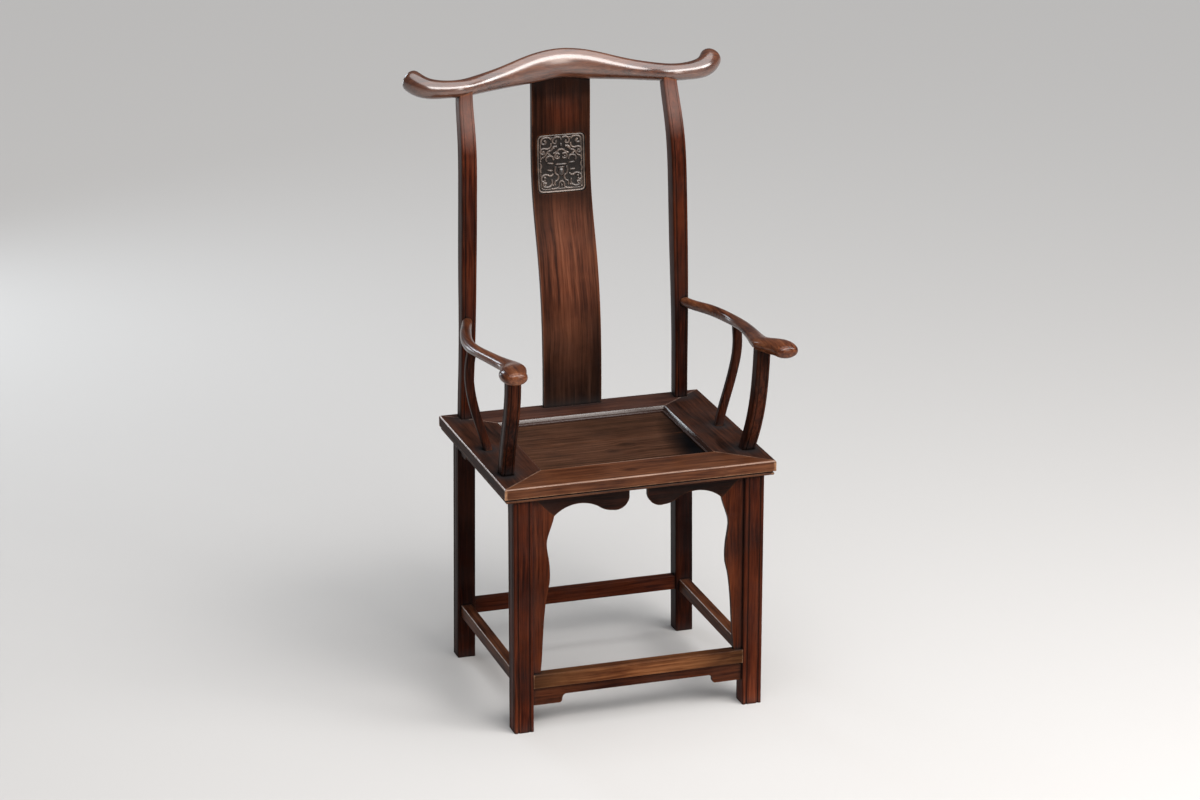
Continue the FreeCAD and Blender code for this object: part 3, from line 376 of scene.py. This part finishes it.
def agedTone(w, tone, look, seen):
    bare, filmed = filmPlaces
    film = w.ramp(seen["films"], (bare, 0.0), (filmed, look["film"]))
    tone = w.blend(film, tone, look["residue"])
    # lighter edges, broken up in spots: edge wear, and on the seat rails a painted highlight line
    worn = w.maths("MULTIPLY", w.shade("rim", look["wear"], inside=True, only_local=True),
                   w.ramp(seen["chips"], *amounts["chipped"]))
    tone = w.blend(worn, tone, look["worn"])
    # darker blue-grey in corners, joints and under the crest: residue and painted shade
    dirt = w.maths("MULTIPLY", w.shade("corner", look["grime"]),
                   w.ramp(seen["blotches"], *amounts["dirtyBlotches"]))
    tone = w.blend(dirt, tone, look["residue"])
    # near-black in grooves and hollows: painted shade
    return w.blend(w.shade("hollow", look["depth"]), tone, look["groove"]), dirt


def lacqueredWood(name, grain, heightTones=None, sideTones=None, knots=(), patches=(),
                  twinPatches=(), **changes):
    look = {**lacquer, **changes}
    material, tree, shader = newMaterial(name)
    w = Wiring(tree)
    spot = w.add("TexCoord").outputs["Object"]
    lines = grainLines(w, spot, grain, knots)
    seen = {key: w.noise(settings, lines) for key, settings in lineNoises.items()}
    seen.update({key: w.noise(settings, spot) for key, settings in spotNoises.items()})
    tone = grainTone(w, look, seen, spot, knots)
    tone = placedTone(w, tone, spot, heightTones, sideTones, patches, twinPatches)
    tone, dirt = agedTone(w, tone, look, seen)
    w.feed(shader.inputs["Base Color"], tone)

    rough = w.maths("MULTIPLY", seen["blotches"], gloss["blotches"])
    rough = w.maths("ADD", rough, look["roughness"] - gloss["offset"])
    rough = w.maths("ADD", rough, w.maths("MULTIPLY", dirt, gloss["dirt"]))
    w.feed(shader.inputs["Roughness"], rough)
    bump = w.add("Bump")
    bump.inputs["Strength"].default_value = look["bump"]
    bump.inputs["Distance"].default_value = relief["reach"]
    blotches = w.maths("MULTIPLY", seen["blotches"], relief["blotches"])
    fineLines = w.maths("MULTIPLY", seen["fineLines"], relief["fineLines"])
    height = w.maths("ADD", w.maths("ADD", seen["streaks"], blotches), fineLines)
    w.feed(bump.inputs["Height"], height)
    w.feed(shader.inputs["Normal"], bump.outputs[0])
    shader.inputs["Coat Weight"].default_value = look["coat"]
    shader.inputs["Coat Roughness"].default_value = look["coatRoughness"]
    shader.inputs["Coat IOR"].default_value = look["coatIor"]
    shader.inputs["Specular IOR Level"].default_value = look["specular"]
    return material


# Each wood: grain direction and changes to the lacquer. heightTones are two heights and
# shares between them, sideTones a distance from the middle and shares up to it. A patch is
# its place, reach, amount, kind and tone; twinPatches show on both sides. A knot is its
# place and size.
frameWood = lacqueredWood("frameWood", "x")
legWood = lacqueredWood(
    "legWood", "z",
    heightTones=(0.0, 0.48, ((0.0, (2.6, 3.0, 3.2)), (0.06, 1.6), (0.16, 1.05), (0.85, 1.05),
                             (1.0, 0.7))),
    coat=0.03, depth=1.0)
# darker below the seat; lighter towards the heads, and a pale patch on each head's front face,
# both a painted highlight
postWood = lacqueredWood(
    "postWood", "z",
    heightTones=(0.0, 1.14, ((0.0, 0.8), (0.03, 0.5), (0.42, 0.45), (0.45, 0.8), (0.80, 1.05),
                             (0.90, 1.3), (0.955, 2.0), (1.0, 2.0))),
    twinPatches=(((0.205, 0.25, 1.105), (0.06, 0.5, 0.075), 0.55, "MIX", (0.19, 0.115, 0.095)),))
armPostWood = lacqueredWood(
    "armPostWood", "z", dark=(0.007, 0.0022, 0.0014), mid=(0.024, 0.0060, 0.0028),
    light=(0.070, 0.018, 0.008))
uprightWood = lacqueredWood(
    "uprightWood", "z", mid=(0.048, 0.0100, 0.0038), light=(0.105, 0.026, 0.0095), specular=0.02)
apronWood = lacqueredWood(
    "apronWood", "x", dark=(0.006, 0.0028, 0.002), mid=(0.018, 0.0060, 0.0036),
    light=(0.045, 0.014, 0.008))
footApronWood = lacqueredWood(
    "footApronWood", "x", mid=(0.046, 0.012, 0.005), light=(0.095, 0.028, 0.011))
frontRailWood = lacqueredWood(
    "frontRailWood", "x", knots=(((-0.0097, -0.18965, 0.500), 0.009),),
    dark=(0.024, 0.0075, 0.0036), mid=(0.068, 0.0225, 0.0100), light=(0.135, 0.050, 0.0220),
    # the pale line along the inner top edge is a painted highlight; the lighter edges are partly
    # wear and partly painted highlight
    patches=(((0.0, -0.1450, 0.50), (0.172, 0.0017, 0.01), 1.0, "MIX", (0.24, 0.15, 0.115)),),
    worn=(0.52, 0.29, 0.16), film=0.10, coat=0.12, coatRoughness=0.16, wear=0.7)
# the pale edge tone of the back rail is a painted highlight line
backRailWood = lacqueredWood(
    "backRailWood", "x", dark=(0.014, 0.0050, 0.0034), mid=(0.042, 0.0150, 0.0100),
    light=(0.085, 0.0370, 0.0250), worn=(0.50, 0.36, 0.29), film=0.25, wear=0.85)
# soft pale edge tone: a painted highlight line on the top front edges of the front seat rail and
# the rear stretcher
softEdge = lacqueredWood(
    "softEdge", "x", dark=(0.08, 0.04, 0.025), mid=(0.19, 0.105, 0.070), light=(0.30, 0.19, 0.14),
    grime=0.1, depth=0.1, wear=0.0, film=0.0, coat=0.3, coatRoughness=0.15, bump=0.02)
# pale edge tone: a painted highlight line on the left-facing top edges of the left seat rail and
# the side stretchers
wornEdge = lacqueredWood(
    "wornEdge", "x", dark=(0.16, 0.10, 0.075), mid=(0.30, 0.21, 0.175), light=(0.44, 0.34, 0.30),
    grime=0.1, depth=0.1, wear=0.0, film=0.0, coat=0.5, coatRoughness=0.15, bump=0.02)
polishedWood = lacqueredWood(
    "polishedWood", "x", dark=(0.030, 0.0140, 0.0100), mid=(0.034, 0.0155, 0.0110),
    light=(0.038, 0.0170, 0.0120), film=0.0, grime=0.0, depth=0.0, wear=0.0, roughness=0.30,
    specular=0.1, coat=1.0, coatRoughness=0.22, bump=0.0)
# the pale edge tone of the side rails is a painted highlight line
sideRailWood = lacqueredWood(
    "sideRailWood", "y", dark=(0.011, 0.0052, 0.0038), mid=(0.033, 0.0135, 0.0088),
    light=(0.066, 0.0250, 0.0150), worn=(0.46, 0.31, 0.25), film=0.28, specular=0.01, wear=0.9,
    twinPatches=(
        ((0.2405, -0.1416, 0.50), (0.042, 0.045, 0.02), 0.8, "MIX", (0.020, 0.019, 0.020)),
        ((0.2347, 0.0005, 0.50), (0.034, 0.036, 0.02), 0.8, "MIX", (0.020, 0.019, 0.020)),
        ((0.222, 0.197, 0.50), (0.045, 0.045, 0.02), 0.8, "MIX", (0.024, 0.022, 0.023))))
sideStretcherWood = lacqueredWood(
    "sideStretcherWood", "y", mid=(0.072, 0.022, 0.010), light=(0.15, 0.052, 0.023))
# greyer at the foot (residue); darkest in a band just under the crest, a painted shadow of the
# crest; darker towards both side edges, painted shade
splatWood = lacqueredWood(
    "splatWood", "board",
    heightTones=(0.50, 1.14, (
        (0.0, (0.26, 0.40, 0.55)), (0.10, (0.38, 0.48, 0.60)), (0.20, (0.62, 0.7, 0.78)),
        (0.36, 1.20), (0.50, 1.15), (0.58, 0.85), (0.645, 0.42), (0.84, 0.30),
        (0.875, 0.42), (0.94, 0.40), (0.965, 0.18), (1.0, 0.14))),
    sideTones=(0.0595, ((0.0, 1.0), (0.55, 0.92), (0.85, 0.62), (0.96, 0.72), (1.0, 1.1))),
    patches=(((0.006, 0.26, 1.075), (0.046, 0.5, 0.042), 0.9, "MULTIPLY", (1.35, 1.0, 0.85)),
             ((-0.057, 0.2, 0.56), (0.02, 0.5, 0.05), 0.7, "MULTIPLY", (0.5, 0.5, 0.55)),
             ((0.057, 0.2, 0.60), (0.025, 0.5, 0.09), 0.8, "MULTIPLY", (0.45, 0.45, 0.5))),
    dark=(0.024, 0.0070, 0.0034), mid=(0.078, 0.0225, 0.0105), light=(0.148, 0.050, 0.0240),
    film=0.10)
boardWood = lacqueredWood(
    "boardWood", "x",
    # the two near-black patches beside the right seat rail are a painted shadow wedge
    patches=(((0.174, -0.105, 0.488), (0.072, 0.235, 0.1), 1.0, "MIX", (0.0022, 0.0022, 0.0026)),
             ((0.176, -0.085, 0.488), (0.068, 0.215, 0.1), 1.0, "MIX", (0.0022, 0.0022, 0.0026)),
             ((-0.05, -0.02, 0.488), (0.16, 0.10, 0.1), 0.4, "MULTIPLY", (1.20, 1.15, 1.10))),
    knots=(((0.0359, -0.01915, 0.488), 0.010), ((0.0012, -0.05055, 0.488), 0.008)),
    dark=(0.022, 0.0115, 0.0072), mid=(0.050, 0.0220, 0.0130), light=(0.084, 0.040, 0.0240),
    wear=0.1, film=0.10, grime=0.12, specular=0.0, coat=0.0)
footrestWood = lacqueredWood(
    "footrestWood", "x",
    sideTones=(0.21, ((0.0, 1.1), (0.4, 0.95), (0.75, 0.5), (1.0, 0.3))),
    patches=(((0.0, -0.205, 0.121), (0.40, 0.04, 0.016), 0.7, "MULTIPLY", (0.45, 0.45, 0.45)),),
    dark=(0.048, 0.014, 0.005), mid=(0.125, 0.042, 0.015), light=(0.24, 0.098, 0.038),
    worn=(0.36, 0.20, 0.12), wear=0.8, film=0.08)
crestWood = lacqueredWood(
    "crestWood", "x", dark=(0.028, 0.0075, 0.0034), mid=(0.090, 0.0270, 0.0120),
    light=(0.160, 0.0580, 0.0270), specular=0.2, coat=1.0, coatRoughness=0.2, coatIor=1.95,
    roughness=0.38, film=0.04, bump=0.1)
armWood = lacqueredWood(
    "armWood", "y", dark=(0.030, 0.008, 0.004), mid=(0.092, 0.027, 0.011),
    light=(0.180, 0.064, 0.027), coat=0.55, coatRoughness=0.15, roughness=0.34, film=0.06,
    bump=0.0,
    twinPatches=(((0.262, -0.27, 0.74), (0.05, 0.075, 0.05), 0.9, "MULTIPLY", (1.25, 1.3, 1.3)),))
# much lighter at the bottom beads of the frame, a painted highlight
carvedWood = lacqueredWood(
    "carvedWood", "z",
    heightTones=(0.915, 1.04, ((0.0, 3.0), (0.075, 2.6), (0.10, 1.0), (0.9, 0.9), (1.0, 0.9))),
    dark=(0.010, 0.0062, 0.0046), mid=(0.027, 0.0165, 0.0120),
    light=(0.064, 0.040, 0.029), specular=0.4, coat=0.7, coatRoughness=0.16, roughness=0.34,
    wear=0.5, worn=(0.24, 0.17, 0.13), film=0.1, grime=0.4, depth=0.8)
carvedGround = lacqueredWood(
    "carvedGround", "z", dark=(0.0050, 0.0034, 0.0028), mid=(0.0095, 0.0062, 0.0048),
    light=(0.016, 0.0105, 0.0080), specular=0.15, coat=0.1, wear=0.0, film=0.1)
hiddenWood = lacqueredWood("hiddenWood", "y", coat=0.0, roughness=0.6, wear=0.1)
print("materials made")

# every node gets a copy with merged corners, eased edges and smooth curves
finishes = {
    # node: material, record's slot, crease angle, eased edge in metres
    "crest_rail": (crestWood, "frame_wood", 50, 0.0),
    "back_splat": (splatWood, "splat_wood", 35, 0.0008),
    "seat_board_front": (boardWood, "panel_wood", 35, 0.0),
    "seat_board_back": (boardWood, "panel_wood", 35, 0.0),
    "front_stretcher": (footrestWood, "footrest_wood", 35, 0.0),
    "rear_stretcher": (frameWood, "frame_wood", 35, 0.0),
    "front_stretcher_apron": (footApronWood, "frame_wood", 35, 0.0006),
    "rear_apron": (apronWood, "frame_wood", 35, 0.0006),
    "seat_rail_front": (frontRailWood, "frame_wood", 35, 0.0003),
    "seat_rail_back": (backRailWood, "frame_wood", 35, 0.0003),
}
pairedFinishes = {
    "rear_leg": (postWood, "frame_wood", 35, 0.0),
    "front_leg": (legWood, "frame_wood", 35, 0.0),
    "arm": (armWood, "frame_wood", 50, 0.0),
    "front_arm_post": (armPostWood, "frame_wood", 40, 0.0),
    "side_arm_post": (armPostWood, "frame_wood", 50, 0.0),
    "seat_rail": (sideRailWood, "frame_wood", 35, 0.0003),
    "seat_brace": (hiddenWood, "hidden_wood", 35, 0.0),
    "side_stretcher": (sideStretcherWood, "frame_wood", 35, 0.0),
    "side_apron": (apronWood, "frame_wood", 35, 0.0006),
    "front_apron": (apronWood, "frame_wood", 35, 0.0006),
    "front_side_apron": (uprightWood, "frame_wood", 35, 0.0006),
}
for stem, finish in pairedFinishes.items():
    for side in ("left", "right"):
        finishes[stem + "_" + side] = finish

# faces of a piece that get a wood of their own; the pale edge woods there are painted highlight
# lines
slant = 0.5 ** 0.5
leftward, forward = (-slant, 0, slant), (0, -slant, slant)
accents = {
    # node: material, least and greatest corner, the way the faces look, least cosine to it
    "seat_rail_right": (
        polishedWood, (0.160, -0.30, 0.485), (0.1745, 0.30, 0.502), leftward, 0.6),
    "seat_rail_back": (
        polishedWood, (-0.30, 0.132, 0.485), (0.30, 0.1465, 0.502), forward, 0.6),
    "seat_rail_left": (
        wornEdge, (-0.28, -0.30, 0.4945), (-0.2640, 0.30, 0.502), leftward, 0.88),
    "seat_rail_front": (
        softEdge, (-0.30, -0.24, 0.4945), (0.30, -0.2245, 0.502), forward, 0.88),
    "side_stretcher_left": (
        wornEdge, (-0.25, -0.30, 0.1085), (-0.20, 0.30, 0.1125), leftward, 0.85),
    "side_stretcher_right": (
        wornEdge, (0.20, -0.30, 0.1085), (0.25, 0.30, 0.1125), leftward, 0.85),
    "rear_stretcher": (
        softEdge, (-0.05, 0.0, 0.1155), (0.30, 0.30, 0.1195), forward, 0.85),
    "back_splat": (
        carvedGround, (-0.0498, 0.0, 0.9188), (0.0498, 0.40, 1.0352), (0, -1, 0), 0.5),
}
# hand-shaped pieces are covered by a fine even mesh and smoothed: grid in metres, rounds
evened = {"crest_rail": (0.0015, 10), "arm_left": (0.0012, 12), "arm_right": (0.0012, 12)}
# the grip's flat end is rounded further: reach from the front in metres, rounds
noseRounds = ((0.006, 40), (0.010, 30), (0.016, 20), (0.030, 12), (0.060, 6))
# lengths in metres, angles in degrees
meshing = {
    "mergeReach": 0.00001,
    "flatAngle": 0.05,
    "sharpAngle": 40,
    "easeSteps": 2,
    "easeProfile": 0.5,
    "calm": 0.5,
}


def accentFaces(mesh, material, low, high, way, least):
    accent = len(mesh.materials)
    mesh.materials.append(material)
    for face in mesh.polygons:
        corners = [mesh.vertices[index].co for index in face.vertices]
        inside = all(low[axis] <= corner[axis] <= high[axis]
                     for corner in corners for axis in range(3))
        if inside and face.normal.dot(Vector(way)) > least:
            face.material_index = accent


def mergedCopy(nodeName):
    bm = bmesh.new()
    bm.from_mesh(nodes[nodeName].data)
    bmesh.ops.remove_doubles(bm, verts=bm.verts, dist=meshing["mergeReach"])
    return bm


def meshFrom(bm, name):
    for face in bm.faces:
        face.smooth = True
    mesh = bpy.data.meshes.new(name)
    bm.to_mesh(mesh)
    bm.free()
    return mesh


def easeEdges(bm, width):
    bmesh.ops.dissolve_limit(bm, angle_limit=radians(meshing["flatAngle"]), verts=bm.verts,
                             edges=bm.edges)
    sharp = [edge for edge in bm.edges if edge.is_manifold
             and edge.calc_face_angle(0) > radians(meshing["sharpAngle"])]
    bmesh.ops.bevel(bm, geom=sharp, offset=width, offset_type="OFFSET",
                    segments=meshing["easeSteps"], profile=meshing["easeProfile"],
                    affect="EDGES", clamp_overlap=True, material=-1)


def smoothPart(bm, verts, rounds):
    for turn in range(rounds):
        bmesh.ops.smooth_vert(bm, verts=verts, factor=meshing["calm"], use_axis_x=True,
                              use_axis_y=True, use_axis_z=True)


def evenSurface(mesh, name, grid, rounds, nosed):
    holder = linkPiece("cover", mesh)
    cover = holder.modifiers.new("cover", "REMESH")
    cover.mode = "VOXEL"
    cover.voxel_size = grid
    covered = bpy.data.meshes.new_from_object(
        holder.evaluated_get(bpy.context.evaluated_depsgraph_get()))
    bpy.data.objects.remove(holder)
    bm = bmesh.new()
    bm.from_mesh(covered)
    smoothPart(bm, bm.verts[:], rounds)
    if nosed:
        front = min(vert.co.y for vert in bm.verts)
        for reach, turns in noseRounds:
            smoothPart(bm, [vert for vert in bm.verts if vert.co.y < front + reach], turns)
    return meshFrom(bm, name)


def finishNode(nodeName, material, slotName, crease, easing):
    bm = mergedCopy(nodeName)
    if easing:
        easeEdges(bm, easing)
    name = nodeName + "Finished"
    mesh = meshFrom(bm, name)
    if "custom_normal" in mesh.attributes:
        mesh.attributes.remove(mesh.attributes["custom_normal"])
    mesh.set_sharp_from_angle(angle=radians(crease))
    if nodeName in evened:
        mesh = evenSurface(mesh, name, *evened[nodeName], nodeName.startswith("arm_"))
    mesh.materials.clear()
    mesh.materials.append(material)
    if nodeName in accents:
        accentFaces(mesh, *accents[nodeName])
    piece = linkPiece(name, mesh)
    if easing:
        normals = piece.modifiers.new("evenNormals", "WEIGHTED_NORMAL")
        normals.keep_sharp = True
    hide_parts(nodeName)
    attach(piece, "root")


for nodeName, finish in finishes.items():
    finishNode(nodeName, *finish)
print("nodes finished:", len(finishes))

# carved medallion: scrolls, leaves and bosses laid on the sunk field of the splat.
# Places are millimetres across and up from the field's middle; the other half mirrors.
medallion = {
    "middle": 0.977,
    "groundLift": 0.0002,
    "flatten": 0.95,
    "thicken": 1.45,
    "bossDepth": 0.0034,
    "bossSegments": 20,
    "bossRings": 12,
    "scrollSides": 3,
    "scrollSteps": 8,
    "cornerSteps": 4,
    "mergeReach": 0.000005,
    "rayStart": -1,
    # in millimetres: half width and half height, corner radius, half thickness
    "beads": (((46.6, 55.4), 8.0, 2.2), ((41.6, 50.2), 5.5, 1.1)),
}
perMetre = 1000
medallionScrolls = {
    # name: (half thickness at start, at end), points
    "topScroll": ((2.0, 1.2), (
        (2.5, 50.5), (9, 52), (15, 49), (17, 43), (13, 39), (9, 42), (11, 45))),
    "cornerScroll": ((1.5, 2.2), (
        (20, 47), (24, 51), (31, 52), (39, 49), (40, 42), (35, 39), (31, 42), (33, 46))),
    "shoulderScroll": ((1.3, 2.2), (
        (20, 40), (21, 33), (27, 29), (35, 30), (41, 27), (41, 21), (36, 19), (33, 23))),
    "leafStem": ((2.3, 1.0), ((8, 33), (15, 32), (20, 26), (27, 23), (34, 14), (40, 11), (43, 5))),
    "eye": ((1.7, 1.7), ((15, 6), (18, 13), (26, 14), (31, 8), (29, 4))),
    "innerRing": ((1.7, 1.7), ((3, 17), (8, 19), (12, 15), (11, 10), (6, 9), (3, 12))),
    "arch": ((1.8, 1.3), ((0, 27), (5, 25.5), (9, 22), (16, 19))),
    "urnSide": ((1.9, 1.3), (
        (11, -7), (13, -14), (11, -21), (6, -26), (8, -33), (14, -38), (13, -44))),
    "lowScroll": ((1.3, 2.2), (
        (16, -21), (22, -25), (30, -22), (38, -24), (41, -31), (37, -35), (33, -32))),
    "footScroll": ((1.4, 2.3), (
        (20, -32), (19, -39), (24, -45), (32, -46), (38, -43), (36, -38), (31, -39))),
    "middleFoot": ((1.8, 1.2), ((0, -35), (5, -40), (6, -47), (13, -50), (22, -50))),
    "sideVine": ((1.2, 1.4), ((43, 2), (40, -5), (43, -12), (41, -18))),
}
medallionBosses = {
    # name: place, half width, half height, turn in degrees
    "cornerBoss": ((33, 45.5), 3.4, 2.6, 10),
    "topBoss": ((10, 44), 2.6, 2.2, 0),
    "shoulderBoss": ((36.5, 24), 4.2, 2.3, -12),
    "pairBoss": ((15.5, 30.5), 3.8, 2.6, 6),
    "ringBoss": ((7.8, 13), 2.6, 2.6, 0),
    "upperLeaf": ((25, 19), 5.6, 2.0, 28),
    "leaf": ((22, 0), 7.4, 2.4, 8),
    "lowerLeaf": ((23, -14), 6.6, 2.6, 6),
    "sideBoss": ((42, 5), 2.1, 2.1, 0),
    "lowBoss": ((34, -27), 3.4, 2.6, 12),
    "footBoss": ((18, -43), 3.2, 2.6, 0),
    "outerFootBoss": ((34, -42), 2.6, 2.2, 0),
    "cornerFootBoss": ((40.5, -48), 2.8, 2.4, 20),
}
centreBosses = {
    "bar": ((0, -3), 12.5, 2.7, 0),
    "urn": ((0, -18), 6.2, 8.6, 0),
    "urnNeck": ((0, -8.5), 7.5, 1.8, 0),
    "crown": ((0, 36), 3.0, 4.4, 0),
    "topBud": ((0, 47), 2.2, 3.4, 0),
    "lowBud": ((0, -44), 2.4, 4.0, 0),
}


def scrollMesh(points, startThick, endThick, closed=False):
    data = bpy.data.curves.new("scroll", "CURVE")
    data.dimensions = "3D"
    data.bevel_depth = 1 / perMetre
    data.bevel_resolution = medallion["scrollSides"]
    data.resolution_u = medallion["scrollSteps"]
    data.use_fill_caps = not closed
    spline = data.splines.new("BEZIER")
    spline.bezier_points.add(len(points) - 1)
    spline.use_cyclic_u = closed
    for number, (mark, (across, up)) in enumerate(zip(spline.bezier_points, points)):
        share = number / (len(points) - 1)
        mark.co = (across / perMetre, 0, up / perMetre)
        mark.handle_left_type = mark.handle_right_type = "AUTO"
        mark.radius = (startThick + (endThick - startThick) * share) * medallion["thicken"]
    holder = bpy.data.objects.new("scroll", data)
    mesh = bpy.data.meshes.new_from_object(holder)
    bpy.data.objects.remove(holder)
    return mesh


def beadPath(halfSize, corner):
    # a rectangle's outline with round corners
    halfWide, halfHigh = halfSize
    steps = medallion["cornerSteps"]
    points = []
    for quarter in range(4):
        for step in range(steps + 1):
            angle = pi / 2 * (quarter + step / steps)
            signX = 1 if quarter in (0, 3) else -1
            signY = 1 if quarter in (0, 1) else -1
            points.append((signX * (halfWide - corner) + corner * cos(angle),
                           signY * (halfHigh - corner) + corner * sin(angle)))
    return points


def addBoss(bm, place, halfWide, halfHigh, turn):
    across, up = place
    size = (halfWide / perMetre, medallion["bossDepth"], halfHigh / perMetre, 1)
    lens = (Matrix.Translation((across / perMetre, 0, up / perMetre))
            @ Matrix.Rotation(radians(-turn), 4, "Y")
            @ Matrix.Diagonal(size))
    bmesh.ops.create_uvsphere(bm, u_segments=medallion["bossSegments"],
                              v_segments=medallion["bossRings"], radius=1, matrix=lens)


def carveMedallion():
    splat = mergedCopy("back_splat")
    ground = BVHTree.FromBMesh(splat)
    bm = bmesh.new()
    for (start, end), points in medallionScrolls.values():
        bm.from_mesh(scrollMesh(points, start, end))
    for boss in medallionBosses.values():
        addBoss(bm, *boss)
    bmesh.ops.mirror(bm, geom=bm.verts[:] + bm.edges[:] + bm.faces[:], axis="X",
                     merge_dist=0.0, matrix=Matrix.Identity(4))
    for boss in centreBosses.values():
        addBoss(bm, *boss)
    for halfSize, corner, thick in medallion["beads"]:
        evenThick = thick / medallion["thicken"]
        bm.from_mesh(scrollMesh(beadPath(halfSize, corner), evenThick, evenThick, True))
    bmesh.ops.remove_doubles(bm, verts=bm.verts, dist=medallion["mergeReach"])
    for vert in bm.verts:
        across, depth, up = vert.co
        start = Vector((across, medallion["rayStart"], medallion["middle"] + up))
        hit = ground.ray_cast(start, Vector((0, 1, 0)))[0]
        vert.co = (across, hit.y - medallion["groundLift"] + depth * medallion["flatten"],
                   medallion["middle"] + up)
    bmesh.ops.recalc_face_normals(bm, faces=bm.faces)
    mesh = meshFrom(bm, "medallionCarving")
    splat.free()
    mesh.materials.append(carvedWood)
    piece = linkPiece("medallionCarving", mesh)
    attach(piece, "root")


carveMedallion()
print("medallion carved")
